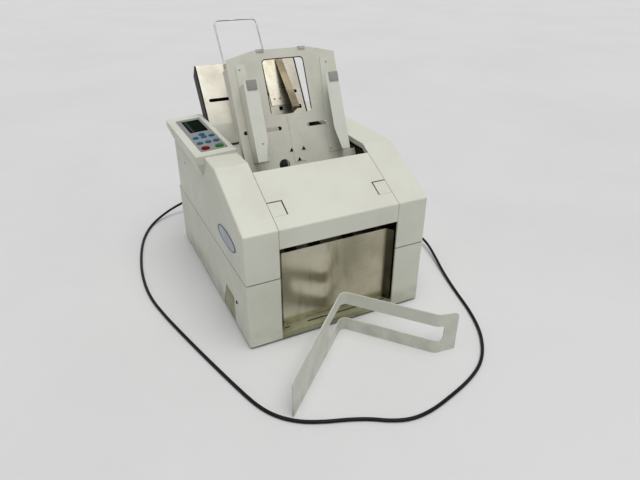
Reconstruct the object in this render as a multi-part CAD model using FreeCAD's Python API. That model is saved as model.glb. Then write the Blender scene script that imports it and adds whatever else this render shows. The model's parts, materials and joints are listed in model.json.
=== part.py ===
"""Desktop sheet-feeding inserter with two inclined hoppers, a keypad console and a loose stacker bracket.

Millimetres. X runs to the right, Y to the rear and Z up. The origin is the middle of the machine's
footprint on the table. Depths are measured from the front face of the covers towards the rear.
"""
import FreeCAD
import Part
import math
import os

# Covers
BODY_W = 422.0
BODY_D = 560.0
TOWER_SETBACK = 18.0
TOWER_W = 73.0
FOOT_H = 6.0
SEAM_Z = 160.5
SEAM_GAP = 1.0
FRONT_TOP_Z = 270.5
KNEE_D = 161.0
ROOF_Z = 352.0
COVER_WALL = 3.0
CORNER_ROUND = 6.0
BROW_ROUND = 4.0
RETURN_DEPTH = 12.0
FRONT_RETURN = 4.0
RETURN_WALL = 2.5
SEAM_RIM_H = 5.0
SEAM_RIM_WALL = 1.6
REAR_RETURN_W = 21.0

# Clearances
FIT = 0.4
RUN = 0.06
MOVE = 0.5

# Cut-out and screw hole in the lower covers, with the tab of the base that shows in the cut-out
CUTOUT_FRONT_D = 95.0
CUTOUT_TOP_Z = 78.0
CUTOUT_TOP_L = 55.0
CUTOUT_BOTTOM_L = 92.0
BASE_TAB_MARGIN = 10.0
BASE_PAD_CLEAR = 1.0
BASE_PAD_BELOW = 0.6
SIDE_HOLE_R = 4.0
SIDE_HOLE_D = 75.0
SIDE_HOLE_Z = 76.0

# Base, feet, frames and tie bars
BASE_TOP_Z = 18.0
SHEET = 2.0
FOOT_R = 13.0
FOOT_STEM_R = 8.0
FOOT_INSET_X = 36.0
FOOT_INSET_D = 50.0
LEDGE_SLOT_D = 15.0
LEDGE_SLOT_W = 5.0
LEDGE_SLOT_HALF_L = 71.0
LEDGE_NOTCH_INSET = 24.0
LEDGE_NOTCH_L = 14.0
FRAME_GAP = 4.0
FRAME_FRONT_D = 6.0
FRAME_SETBACK = 22.0
FRAME_FRONT_Z = 256.0
FRAME_BROW_D = 122.0
FRAME_BROW_Z = 319.0
FRAME_TOP_D = 165.0
FRAME_TOP_Z = 332.0
FRAME_FLANGE = 16.0
TIE_R = 5.0
TIE_FRONT = (70.0, 70.0)
TIE_MIDDLE = (250.0, 45.0)
TIE_REAR_INSET = 8.0
TIE_REAR_Z = 240.0

# Rear panel and rear upper cover
PANEL_SHEET = 2.0
VENT_W = 4.0
VENT_H = 60.0
VENT_PITCH = 10.0
VENT_COUNT = 12
VENT_X = 20.0
VENT_Z = 60.0

# Console on the left tower
CONSOLE_L = 299.0
CONSOLE_SETBACK = 12.0
CONSOLE_OVERHANG = 17.0
CONSOLE_EDGE_Z = 354.0
CONSOLE_ROLL = 3.4
CONSOLE_FASCIA_H = 16.0
CONSOLE_FASCIA_LEAN = 1.0
CONSOLE_SKIRT_Z = 297.0
CONSOLE_SEAT_OUT_Z = 290.0
CONSOLE_SEAT_IN_Z = 340.0
CONSOLE_BEAK_D = 31.0
OVERLAY_T = 0.6
OVERLAY_X = 17.5
OVERLAY_W = 61.8
OVERLAY_Y = 25.0
OVERLAY_L = 244.0
DISPLAY_X = 29.0
DISPLAY_W = 43.0
DISPLAY_Y = 159.0
DISPLAY_L = 94.0
DISPLAY_LEDGE = 2.0
DISPLAY_MODULE_T = 4.5
KEY_R = 6.8
BIG_KEY_R = 9.3
KEY_RISE = 2.4
KEY_FLANGE = 1.6
KEY_FLANGE_T = 1.6
KEY_GAP = 0.4
KEY_TRAVEL = 1.2
SWITCH_H = 1.4
BOARD_T = 1.6
BOARD_INSET = 4.0
POST_R = 3.0
POST_Y = (60.0, 262.0)
KEYS = {
    "key_up": (49.0, 135.0, KEY_R),
    "key_left": (30.0, 116.5, KEY_R),
    "key_down": (49.0, 116.5, KEY_R),
    "key_right": (67.5, 116.5, KEY_R),
    "key_menu": (30.0, 78.0, KEY_R),
    "key_select": (49.0, 78.0, KEY_R),
    "key_clear": (67.5, 78.0, KEY_R),
    "key_stop": (32.5, 41.5, BIG_KEY_R),
    "key_start": (64.0, 41.5, BIG_KEY_R),
}

# Lid between the towers
LID_GAP = 1.0
LID_LIP_Z = 228.5
LID_REAR_D = 136.0
LID_WALL = 3.0
LID_SKIRT_H = 13.0
LID_PIN_D = 122.0
LID_PIN_Z = 311.0
LID_PIN_R = 3.0
LID_EAR_R = 8.0
TAB_FRONT_D = 30.0
TAB_L = 34.0
TAB_W = 30.0
TAB_SLOT = 3.0
TAB_SINK = 7.0

# Delivery bay at the front
DELIVERY_D = 24.0
DELIVERY_INSET = 13.0
DELIVERY_TOP_Z = 203.0
DELIVERY_SHEET = 1.2
DELIVERY_FLANGE_X = 11.0
DELIVERY_FLANGE_D = 15.0
DELIVERY_TOP_FLANGE = 34.0

# Shafts, rollers, belt and motor
SHAFT_R = 4.0
SHAFT_END = 4.0
DELIVERY_SHAFT_D = 47.0
DELIVERY_SHAFT_Z = 218.0
DELIVERY_ROLLER_R = 12.0
DELIVERY_ROLLER_W = 22.0
DELIVERY_ROLLER_X = (40.0, 95.0)
ROLLER_R = 18.0
ROLLER_W = 18.0
ROLLER_X = 85.0
ROLLER_PROUD = 3.5
ROLLER_ROOM = 2.0
MOUTH_ROUND = 2.5
PULLEY_R = 14.0
PULLEY_FLANGE_R = 17.0
PULLEY_FLANGE_T = 2.0
BELT_W = 8.0
BELT_T = 1.8
BELT_GAP = 10.0
MOTOR_D = 330.0
MOTOR_Z = 90.0
MOTOR_R = 30.0
MOTOR_L = 72.0
MOTOR_BOSS_R = 11.0
MOTOR_SHAFT_R = 3.0

# Front hopper: white feed plate, sheet guides, racks and pinion
FEED_TILT = 24.0
FEED_FOOT_D = 190.3
FEED_FOOT_Z = 300.0
FEED_SHEET = 1.5
FEED_INSET = 9.5
FEED_SKIRT = 20.0
FEED_SHOULDER = 15.0
FEED_TOP_H = 271.0
FEED_TOP_HALF_W = 63.5
WINDOW_HALF_W = 49.7
WINDOW_V = 129.6
WINDOW_HEAD = 19.8
WINDOW_ROUND = 9.0
WINDOW_LIP = 9.0
FEED_SLOT_V = 100.2
FEED_SLOT_H = 8.6
FEED_SLOT_IN = 31.0
FEED_SLOT_INSET = 9.5
FLANGE_V0 = 20.0
FLANGE_HEAD_INSET = 16.0
FLANGE_FOOT = 9.0
FLANGE_HEAD = 38.0
FEED_ROLLER_V = 0.0
IDLER_X = -39.5
IDLER_V = 19.7
IDLER_R = 14.0
IDLER_W = 11.0
IDLER_PROUD = 3.5
IDLER_PIN_R = 3.0
IDLER_EAR = 2.0
IDLER_EAR_H = 12.0
IDLER_EAR_ROOT = 3.0
FEED_MARK = 5.0
FEED_MARKS = ((-17.0, 47.0), (12.0, 47.0), (-2.5, 23.5))
FEED_LUG_V = 8.0
FEED_LUG_H = 24.0
FEED_LUG_T = 4.0
STRIP_HALF_W = 14.0
STRIP_V = 22.0
STRIP_T = 1.0
STRIP_SCREW_R = 1.8
STRIP_SCREW_T = 0.8
STRIP_SCREW_INSET = 3.0
STRIP_SCREW_V = 18.0
CLIP_X = 49.0
CLIP_W = 17.0
CLIP_H = 5.0
CLIP_T = 1.5
GUIDE_INSET = 18.0
GUIDE_SHEET = 1.2
GUIDE_V0 = 33.0
GUIDE_WALL_V = 197.0
GUIDE_DEPTH = 36.0
GUIDE_LIP_W = 30.5
GUIDE_LIP_FOOT_W = 19.5
GUIDE_LIP_KINK_V = 82.0
GUIDE_LIP_V = 204.0
GUIDE_BASE_INSET = 12.0
GUIDE_BASE_HEAD_W = 20.5
GUIDE_BASE_FOOT_W = 37.5
GUIDE_FOOT_W = 10.0
GEAR_MODULE = 1.0
PINION_TEETH = 16
PRESSURE_ANGLE = math.radians(20.0)
DEDENDUM = 1.25
FLANK_STEPS = 4
BACKLASH = 0.3
RACK_T = 4.5
RACK_BACK = 5.0
RACK_PAST = 16.0
STUD_R = 2.0
STUD_HEAD_R = 4.0
STUD_HEAD_T = 1.5

# Bent deck that the sheets run over, with the stop at the foot of the feed plate
DECK_Z = 298.0
DECK_GAP = 2.0
DECK_RAMP = 6.0
STOP_LEAN = 16.0
STOP_RISE = 42.0

# Rear hopper: steel plate, cheeks, bent guides, wire support
REAR_TILT = 33.5
REAR_SETBACK = 106.5
REAR_FOOT_Z = 315.0
REAR_SHEET = 1.2
REAR_H = 194.0
REAR_SLOT_V = 102.0
REAR_SLOT_H = 8.6
REAR_SLOT_IN = 21.0
REAR_SLOT_INSET = 12.6
REAR_ROLLER_V = 18.0
REAR_ROLLER_X = 55.0
REAR_HOLE_V = 54.0
REAR_HOLE_H = 11.0
REAR_HOLE_INSETS = ((73.6, 10.0), (29.6, 20.0))
CHEEK_T = 4.0
CHEEK_DEPTH = 32.0
CHEEK_SHOULDER = 14.0
CHEEK_FOOT_Z = 292.0
REAR_GUIDE_INSET = 34.6
REAR_GUIDE_W = 59.0
REAR_GUIDE_MIDDLE = 3.0
REAR_GUIDE_V0 = 68.0
REAR_GUIDE_V1 = 192.0
REAR_GUIDE_RIM = 4.0
REAR_GUIDE_FOOT_W = 10.0
REAR_WALL_V0 = 46.0
REAR_WALL_HEAD = 5.0
REAR_WALL_FOOT = 46.0
REAR_LIP_W = 20.0
KNOB_R = 6.5
KNOB_T = 7.0
WIRE_R = 2.0
WIRE_X = 57.4
WIRE_BEHIND = 7.5
WIRE_TOP_V = 312.0
WIRE_FOOT_V = 152.0
WIRE_BEND_R = 12.0
SLEEVE_V = 166.0
SLEEVE_H = 22.0
SLEEVE_W = 9.0
SLEEVE_WALL = 2.0

# Mains inlet, switch, connector, cord and plug. The cord's points are (x, distance, z), measured behind the
# rear face for its first half and ahead of the front face for its second.
INLET_X = -111.0
INLET_Z = 60.0
INLET_W = 30.0
INLET_H = 23.0
INLET_WALL = 2.5
INLET_DEPTH = 22.0
INLET_FLANGE = 6.0
INLET_FLANGE_T = 2.0
SWITCH_X = -62.0
SWITCH_W = 14.0
ROCKER_H = 20.0
ROCKER_R = 12.0
ROCKER_PROUD = 3.0
ROCKER_TURN = 14.0
ROCKER_PIN_R = 1.5
ROCKER_MARGIN = 2.4
BEZEL = 3.0
CONNECTOR_GRIP_MARGIN = 2.0
CONNECTOR_RELIEF_L = 24.0
CORD_R = 3.5
RELIEF_R = 6.0
RELIEF_WALL = 0.8
PLUG_NECK_R = 8.0
PLUG_R = 17.0
PLUG_L = 34.0
PLUG_NECK_L = 22.0
PIN_R = 2.4
PIN_L = 19.0
PIN_PITCH = 19.0
CORD_BEHIND = (
    (-111.0, 53.0, 60.0),
    (-111.0, 81.0, 60.0),
    (-118.0, 112.0, 56.0),
    (-136.0, 136.0, 48.0),
    (-160.0, 149.0, 40.0),
    (-189.0, 151.0, 31.0),
    (-222.0, 145.0, 21.0),
    (-256.0, 130.0, 11.0),
    (-286.0, 104.0, 5.0),
    (-311.0, 63.0, 3.6),
    (-334.0, 5.0, 3.6),
    (-354.0, -80.0, 3.6),
    (-367.0, -177.0, 3.6),
    (-367.0, -275.0, 3.6),
)
CORD_AHEAD = (
    (-350.0, -195.0, 3.6),
    (-326.0, -100.0, 3.6),
    (-300.0, -3.0, 3.6),
    (-273.0, 92.0, 3.6),
    (-254.0, 153.0, 3.6),
    (-232.0, 192.0, 3.6),
    (-199.0, 222.0, 3.6),
    (-160.0, 241.0, 3.6),
    (-119.0, 255.0, 3.6),
    (-82.0, 271.0, 3.6),
    (-48.0, 293.0, 3.6),
    (-12.0, 306.0, 3.6),
    (32.0, 305.0, 3.6),
    (88.0, 291.0, 3.6),
    (146.0, 273.0, 3.6),
    (195.0, 248.0, 3.6),
    (233.0, 212.0, 3.6),
    (267.0, 162.0, 3.6),
    (294.0, 94.0, 3.6),
    (315.0, 14.0, 3.6),
    (338.0, -62.0, 5.5),
    (362.0, -130.0, 10.0),
    (377.0, -180.0, 15.0),
    (383.0, -218.0, 17.0),
    (379.0, -251.0, 17.5),
    (367.0, -278.0, 17.5),
)

# Power supply
SUPPLY_W = 80.0
SUPPLY_L = 130.0
SUPPLY_H = 52.0
SUPPLY_GAP = 6.0
SUPPLY_REAR_GAP = 5.0

# Stacker bracket standing on the table
BRACKET_T = 2.5
BRACKET_AHEAD = ((-203.0, 204.0), (-4.0, 15.0), (134.0, 176.0), (180.0, 181.0))
BRACKET_BEND_R = (14.0, 12.0)
BRACKET_END_H = 85.0
BRACKET_BEND_H = 99.0
BRACKET_TIP_H = 92.0
BRACKET_TIP_ROUND = 12.0
BRACKET_SLOT_Z = 31.0
BRACKET_SLOT_H = 38.0
BRACKET_SLOT_BACK = 85.0
BRACKET_SLOT_PAST = 15.0
BRACKET_SLOT_ROUND = 9.0

# Derived places
FRONT = -BODY_D / 2.0
REAR = BODY_D / 2.0
HALF_W = BODY_W / 2.0
BAY_HALF_W = HALF_W - TOWER_W
TOWER_D = BODY_D - TOWER_SETBACK
FRAME_X = BAY_HALF_W + FRAME_GAP
FRAME_REAR_D = TOWER_D - FRAME_SETBACK
TIE_PLACES = (TIE_FRONT, TIE_MIDDLE, (FRAME_REAR_D - TIE_REAR_INSET, TIE_REAR_Z))
BELT_X = FRAME_X + BELT_GAP
LEDGE_NOTCH_X = BAY_HALF_W - LEDGE_NOTCH_INSET
CONSOLE_REAR_D = TOWER_D - CONSOLE_SETBACK
CONSOLE_FRONT_D = CONSOLE_REAR_D - CONSOLE_L
DELIVERY_HALF_W = BAY_HALF_W - DELIVERY_INSET
FEED_HALF_W = BAY_HALF_W - FEED_INSET
FEED_SIDE_H = FEED_TOP_H - FEED_SHOULDER
FEED_SLOT_OUT = FEED_HALF_W - FEED_SLOT_INSET
FLANGE_V1 = FEED_SIDE_H - FLANGE_HEAD_INSET
WINDOW_H = FEED_TOP_H - WINDOW_HEAD - WINDOW_V
GUIDE_WALL_X = FEED_HALF_W - GUIDE_INSET
GUIDE_BASE_V = FEED_SIDE_H - GUIDE_BASE_INSET
REAR_FOOT_D = TOWER_D - REAR_SETBACK
SUPPLY_X = SUPPLY_GAP - FRAME_X
SUPPLY_D = FRAME_REAR_D - SUPPLY_REAR_GAP - SUPPLY_L
CORD_ROUTE = [(x, REAR + behind, z) for x, behind, z in CORD_BEHIND]
CORD_ROUTE += [(x, FRONT - ahead, z) for x, ahead, z in CORD_AHEAD]
BRACKET_POINTS = [(x, FRONT - ahead) for x, ahead in BRACKET_AHEAD]
LOWER_TOP_Z = SEAM_Z - SEAM_GAP / 2.0
UPPER_FOOT_Z = SEAM_Z + SEAM_GAP / 2.0
SLOPE = math.atan2(ROOF_Z - FRONT_TOP_Z, KNEE_D)
LID_HALF_W = BAY_HALF_W - LID_GAP
BASE_REAR_D = BODY_D - COVER_WALL - FIT
CHEEK_OUT_X = BAY_HALF_W - FIT
CHEEK_IN_X = CHEEK_OUT_X - CHEEK_T
REAR_SLOT_OUT = CHEEK_IN_X - REAR_SLOT_INSET
REAR_GUIDE_X = CHEEK_IN_X - REAR_GUIDE_INSET
REAR_GUIDE_SHIFT = REAR_GUIDE_X - REAR_GUIDE_W - REAR_GUIDE_MIDDLE
V = FreeCAD.Vector
X_AXIS = V(1.0, 0.0, 0.0)
Y_AXIS = V(0.0, 1.0, 0.0)
Z_AXIS = V(0.0, 0.0, 1.0)


def place(x, depth, z):
    """Point of the machine given by its depth behind the front face."""
    return V(x, FRONT + depth, z)


def box(x0, x1, d0, d1, z0, z1):
    return Part.makeBox(x1 - x0, d1 - d0, z1 - z0, place(x0, d0, z0))


def local_box(u0, u1, v0, v1, w0, w1):
    return Part.makeBox(u1 - u0, v1 - v0, w1 - w0, V(u0, v0, w0))


def extruded(points, sweep):
    face = Part.Face(Part.makePolygon(points + [points[0]]))
    return face.extrude(sweep)


def prism_x(outline, x0, x1):
    """Solid between x0 and x1 whose outline is given as (depth, height) pairs."""
    return extruded([place(x0, depth, z) for depth, z in outline], V(x1 - x0, 0.0, 0.0))


def prism_y(outline, d0, d1):
    """Solid between two depths whose outline is given as (x, height) pairs."""
    return extruded([place(x, d0, z) for x, z in outline], V(0.0, d1 - d0, 0.0))


def local_prism(outline, w0, w1):
    return extruded([V(u, v, w0) for u, v in outline], V(0.0, 0.0, w1 - w0))


def rod_x(x0, x1, depth, z, radius):
    return Part.makeCylinder(radius, x1 - x0, place(x0, depth, z), X_AXIS)


def peg(radius, u, v, w0, w1):
    """Round peg square to a local plate."""
    return Part.makeCylinder(radius, w1 - w0, V(u, v, w0), Z_AXIS)


def moved(shape, placement):
    shape.Placement = placement.multiply(shape.Placement)
    return shape


def mirrored(shape):
    return shape.mirror(V(0.0, 0.0, 0.0), X_AXIS)


def fused(shapes):
    return shapes[0].multiFuse(shapes[1:]).removeSplitter()


def rounded_along(shape, radius, axis):
    """Round every straight edge of a solid that runs along the given axis."""
    edges = [edge for edge in shape.Edges if is_along(edge, axis)]
    return shape.makeFillet(radius, edges)


def is_along(edge, axis):
    if not isinstance(edge.Curve, Part.Line):
        return False
    return abs(edge.Curve.Direction.dot(axis)) > 0.999


def rounded_box(u0, u1, v0, v1, w0, w1, radius):
    return rounded_along(local_box(u0, u1, v0, v1, w0, w1), radius, Z_AXIS)


def edges_in_plane(shape, x):
    """Edges of a solid that lie wholly in the plane at x."""
    flat = 0.001
    found = []
    for edge in shape.Edges:
        bounds = edge.BoundBox
        if abs(bounds.XMin - x) < flat and abs(bounds.XMax - x) < flat:
            found.append(edge)
    return found


def slope_z(depth, below=0.0):
    """Height of the sloping front at a depth, or of a line below it, measured square to the slope."""
    return FRONT_TOP_Z + depth * math.tan(SLOPE) - below / math.cos(SLOPE)


def slope_depth(z, below=0.0):
    return (z - FRONT_TOP_Z + below / math.cos(SLOPE)) / math.tan(SLOPE)


def leaning_plate(depth, z, tilt):
    """Placement of a plate that leans back: local Y runs up the plate, local Z out of its front."""
    return FreeCAD.Placement(place(0.0, depth, z), FreeCAD.Rotation(X_AXIS, 90.0 - tilt))


FEED_PLACE = leaning_plate(FEED_FOOT_D, FEED_FOOT_Z, FEED_TILT)
REAR_PLACE = leaning_plate(REAR_FOOT_D, REAR_FOOT_Z, REAR_TILT)
LID_PLACE = FreeCAD.Placement(
    place(0.0, 0.0, FRONT_TOP_Z), FreeCAD.Rotation(X_AXIS, math.degrees(SLOPE)))
CONSOLE_PLACE = FreeCAD.Placement(
    place(-HALF_W - CONSOLE_OVERHANG, CONSOLE_FRONT_D, CONSOLE_EDGE_Z),
    FreeCAD.Rotation(Y_AXIS, -CONSOLE_ROLL))


def depth_and_height(placement, v, w):
    """Depth and height of a local point on a leaning plate."""
    point = placement.multVec(V(0.0, v, w))
    return point.y - FRONT, point.z


ROLLER_BEHIND = ROLLER_R - ROLLER_PROUD
FEED_SHAFT_D, FEED_SHAFT_Z = depth_and_height(FEED_PLACE, FEED_ROLLER_V, -ROLLER_BEHIND)
REAR_SHAFT_D, REAR_SHAFT_Z = depth_and_height(REAR_PLACE, REAR_ROLLER_V, -ROLLER_BEHIND)
SHAFT_PLACES = (
    (DELIVERY_SHAFT_D, DELIVERY_SHAFT_Z),
    (FEED_SHAFT_D, FEED_SHAFT_Z),
    (REAR_SHAFT_D, REAR_SHAFT_Z),
)


# Base and frame

def base_plate():
    half = HALF_W - COVER_WALL - FIT
    tongue_half = BAY_HALF_W - FIT
    front = COVER_WALL + FIT
    outer = fused([
        box(-half, half, front, BASE_REAR_D, FOOT_H, BASE_TOP_Z),
        box(-tongue_half, tongue_half, 0.0, front, FOOT_H, BASE_TOP_Z),
    ])
    under = BASE_TOP_Z - SHEET
    inner = fused([
        box(-half + SHEET, half - SHEET, front + SHEET, BASE_REAR_D - SHEET, 0.0, under),
        box(-tongue_half + SHEET, tongue_half - SHEET, SHEET, front + SHEET, 0.0, under),
    ])
    rear = LEDGE_SLOT_D + LEDGE_SLOT_W
    over = BASE_TOP_Z + SHEET
    slot = box(-LEDGE_SLOT_HALF_L, LEDGE_SLOT_HALF_L, LEDGE_SLOT_D, rear, 0.0, over)
    notch = box(LEDGE_NOTCH_X, LEDGE_NOTCH_X + LEDGE_NOTCH_L, LEDGE_SLOT_D, rear, 0.0, over)
    slots = [slot, notch, mirrored(notch)]
    tray = outer.cut(inner).cut(Part.makeCompound(slots))
    tab = base_tab(half)
    return fused([tray, tab, mirrored(tab)])


def base_tab(outer):
    """Flange bent up from the base's right edge, with a pad that fills the cut-out in the cover."""
    front = CUTOUT_FRONT_D - BASE_TAB_MARGIN
    rear = CUTOUT_FRONT_D + CUTOUT_BOTTOM_L + BASE_TAB_MARGIN
    flange = box(outer - SHEET, outer, front, rear, FOOT_H, CUTOUT_TOP_Z + BASE_TAB_MARGIN)
    pad_front = CUTOUT_FRONT_D + BASE_PAD_CLEAR
    pad_top = CUTOUT_TOP_Z - BASE_PAD_CLEAR
    slack = 3.0 * BASE_PAD_CLEAR
    pad = prism_x([
        (pad_front, FOOT_H),
        (pad_front, pad_top),
        (CUTOUT_FRONT_D + CUTOUT_TOP_L - slack, pad_top),
        (CUTOUT_FRONT_D + CUTOUT_BOTTOM_L - 2.0 * slack, FOOT_H),
    ], outer, HALF_W - BASE_PAD_BELOW)
    return fused([flange, pad])


def rubber_feet():
    feet = []
    for x in (-HALF_W + FOOT_INSET_X, HALF_W - FOOT_INSET_X):
        for depth in (FOOT_INSET_D, BODY_D - FOOT_INSET_D):
            pad = Part.makeCylinder(FOOT_R, FOOT_H, place(x, depth, 0.0))
            stem = Part.makeCylinder(FOOT_STEM_R, BASE_TOP_Z - SHEET, place(x, depth, 0.0))
            feet.append(fused([pad, stem]))
    return Part.makeCompound(feet)


def side_frame(side):
    outline = [
        (FRAME_FRONT_D, BASE_TOP_Z),
        (FRAME_FRONT_D, FRAME_FRONT_Z),
        (FRAME_BROW_D, FRAME_BROW_Z),
        (FRAME_TOP_D, FRAME_TOP_Z),
        (FRAME_REAR_D, FRAME_TOP_Z),
        (FRAME_REAR_D, BASE_TOP_Z),
    ]
    outer = FRAME_X + SHEET
    plate = prism_x(outline, FRAME_X, outer)
    flange = box(outer, outer + FRAME_FLANGE, FRAME_FRONT_D + RETURN_DEPTH, FRAME_REAR_D,
                 BASE_TOP_Z, BASE_TOP_Z + SHEET)
    bores = [rod_x(0.0, outer, depth, z, SHAFT_R + RUN) for depth, z in SHAFT_PLACES]
    if side > 0:
        bores.append(rod_x(0.0, outer, MOTOR_D, MOTOR_Z, MOTOR_BOSS_R))
    frame = fused([plate, flange]).cut(Part.makeCompound(bores))
    return frame if side > 0 else mirrored(frame)


def tie_bars():
    return Part.makeCompound([rod_x(-FRAME_X, FRAME_X, depth, z, TIE_R) for depth, z in TIE_PLACES])


# Covers

def lower_cover(side):
    outer = box(BAY_HALF_W, HALF_W, 0.0, BODY_D, FOOT_H, LOWER_TOP_Z)
    corners = [edge for edge in edges_in_plane(outer, HALF_W) if is_along(edge, Z_AXIS)]
    outer = outer.makeFillet(CORNER_ROUND, corners)
    inside_x = HALF_W - COVER_WALL
    rear_d = BODY_D - COVER_WALL
    hollow = box(0.0, inside_x, COVER_WALL, rear_d, 0.0, ROOF_Z)
    rear_gap = box(0.0, HALF_W - REAR_RETURN_W, rear_d - SHEET, BODY_D + SHEET, 0.0, ROOF_Z)
    cutout = prism_x([
        (CUTOUT_FRONT_D, 0.0),
        (CUTOUT_FRONT_D, CUTOUT_TOP_Z),
        (CUTOUT_FRONT_D + CUTOUT_TOP_L, CUTOUT_TOP_Z),
        (CUTOUT_FRONT_D + CUTOUT_BOTTOM_L, 0.0),
    ], inside_x - COVER_WALL, HALF_W + COVER_WALL)
    hole = rod_x(inside_x - COVER_WALL, HALF_W + COVER_WALL, SIDE_HOLE_D, SIDE_HOLE_Z, SIDE_HOLE_R)
    shell = outer.cut(hollow).cut(rear_gap).cut(cutout).cut(hole)
    post = box(BAY_HALF_W, BAY_HALF_W + RETURN_WALL, 0.0, FRONT_RETURN, BASE_TOP_Z + FIT, LOWER_TOP_Z)
    shelf = box(BAY_HALF_W, inside_x, TOWER_D - COVER_WALL, rear_d, LOWER_TOP_Z - COVER_WALL, LOWER_TOP_Z)
    cover = fused([shell, post, shelf, seam_rim(inside_x)])
    return cover if side > 0 else mirrored(cover)


def seam_rim(inside_x):
    """Tongue inside the top of a lower cover that the upper cover slips over."""
    front_x = BAY_HALF_W + RETURN_WALL + FIT
    rear_d = TOWER_D - COVER_WALL - FIT
    wall = SEAM_RIM_WALL + FIT
    root_z = LOWER_TOP_Z - SEAM_RIM_H
    tip_z = LOWER_TOP_Z + SEAM_RIM_H
    root = fused([
        box(front_x, inside_x, COVER_WALL, COVER_WALL + wall, root_z, LOWER_TOP_Z),
        box(inside_x - wall, inside_x, COVER_WALL, rear_d, root_z, LOWER_TOP_Z),
    ])
    tip = fused([
        box(front_x, inside_x - FIT, COVER_WALL + FIT, COVER_WALL + wall, root_z, tip_z),
        box(inside_x - wall, inside_x - FIT, COVER_WALL + FIT, rear_d, root_z, tip_z),
    ])
    return fused([root, tip])


def tower_outline(inset):
    """Outline of a tower seen from the side, moved inwards by a wall."""
    top = ROOF_Z - inset
    foot = UPPER_FOOT_Z if inset == 0.0 else 0.0
    return [
        (inset, foot),
        (inset, slope_z(inset, inset)),
        (slope_depth(top, inset), top),
        (TOWER_D - inset, top),
        (TOWER_D - inset, foot),
    ]


def tower_shell():
    outer = prism_x(tower_outline(0.0), BAY_HALF_W, HALF_W)
    side_edges = [edge for edge in edges_in_plane(outer, HALF_W) if not is_along(edge, Y_AXIS) or
                  edge.BoundBox.ZMin > UPPER_FOOT_Z]
    brow = [edge for edge in outer.Edges if is_brow(edge)]
    outer = outer.makeFillet(BROW_ROUND, side_edges + brow)
    hollow = prism_x(tower_outline(COVER_WALL), BAY_HALF_W + RETURN_WALL, HALF_W - COVER_WALL)
    inner_opening = prism_x(tower_outline(RETURN_DEPTH), 0.0, BAY_HALF_W + COVER_WALL)
    beside_bay = box(0.0, BAY_HALF_W + COVER_WALL, FRONT_RETURN, RETURN_DEPTH, 0.0, LID_LIP_Z)
    return outer.cut(hollow).cut(inner_opening).cut(beside_bay)


def is_brow(edge):
    """True for the edge where an upright front turns into the slope."""
    if not is_along(edge, X_AXIS):
        return False
    middle = edge.CenterOfMass
    return abs(middle.y - FRONT) < FIT and abs(middle.z - FRONT_TOP_Z) < FIT


def left_upper_cover():
    """Left tower with its roof cut away where the console sits."""
    over = ROOF_Z + CONSOLE_FASCIA_H
    seat = prism_y([
        (-HALF_W - COVER_WALL, CONSOLE_SEAT_OUT_Z - FIT),
        (-HALF_W, CONSOLE_SEAT_OUT_Z - FIT),
        (-BAY_HALF_W, CONSOLE_SEAT_IN_Z - FIT),
        (0.0, CONSOLE_SEAT_IN_Z - FIT),
        (0.0, over),
        (-HALF_W - COVER_WALL, over),
    ], CONSOLE_FRONT_D - FIT, CONSOLE_REAR_D + FIT)
    return mirrored(tower_shell()).cut(seat)


def console_edge(x, below=0.0):
    """Height of the console's top at x, or of a line below it."""
    roll = math.radians(CONSOLE_ROLL)
    return CONSOLE_EDGE_Z + (x + HALF_W + CONSOLE_OVERHANG) * math.tan(roll) - below / math.cos(roll)


def console_housing():
    tip = -HALF_W - CONSOLE_OVERHANG
    fascia_x = tip + CONSOLE_FASCIA_LEAN
    fascia_z = CONSOLE_EDGE_Z - CONSOLE_FASCIA_H
    outer = prism_y([
        (tip, CONSOLE_EDGE_Z),
        (-BAY_HALF_W, console_edge(-BAY_HALF_W)),
        (-BAY_HALF_W, CONSOLE_SEAT_IN_Z),
        (-HALF_W, CONSOLE_SEAT_OUT_Z),
        (-HALF_W, CONSOLE_SKIRT_Z),
        (fascia_x, fascia_z),
    ], CONSOLE_FRONT_D, CONSOLE_REAR_D)
    beak = prism_x([
        (CONSOLE_FRONT_D - COVER_WALL, fascia_z),
        (CONSOLE_FRONT_D, fascia_z),
        (CONSOLE_FRONT_D + CONSOLE_BEAK_D, CONSOLE_SKIRT_Z),
        (CONSOLE_FRONT_D + CONSOLE_BEAK_D, FRAME_FRONT_Z),
        (CONSOLE_FRONT_D - COVER_WALL, FRAME_FRONT_Z),
    ], tip - COVER_WALL, -HALF_W)
    shell = outer.cut(beak).cut(console_hollow(fascia_x, fascia_z))
    openings = [moved(console_window(DISPLAY_LEDGE, -COVER_WALL), CONSOLE_PLACE)]
    for u, v, radius in KEYS.values():
        openings.append(moved(peg(radius + KEY_GAP, u, v, -2.0 * COVER_WALL, COVER_WALL), CONSOLE_PLACE))
    posts = [moved(peg(POST_R, u, v, board_top(), -COVER_WALL), CONSOLE_PLACE) for u, v in post_places()]
    return fused([shell.cut(Part.makeCompound(openings))] + posts)


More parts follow.
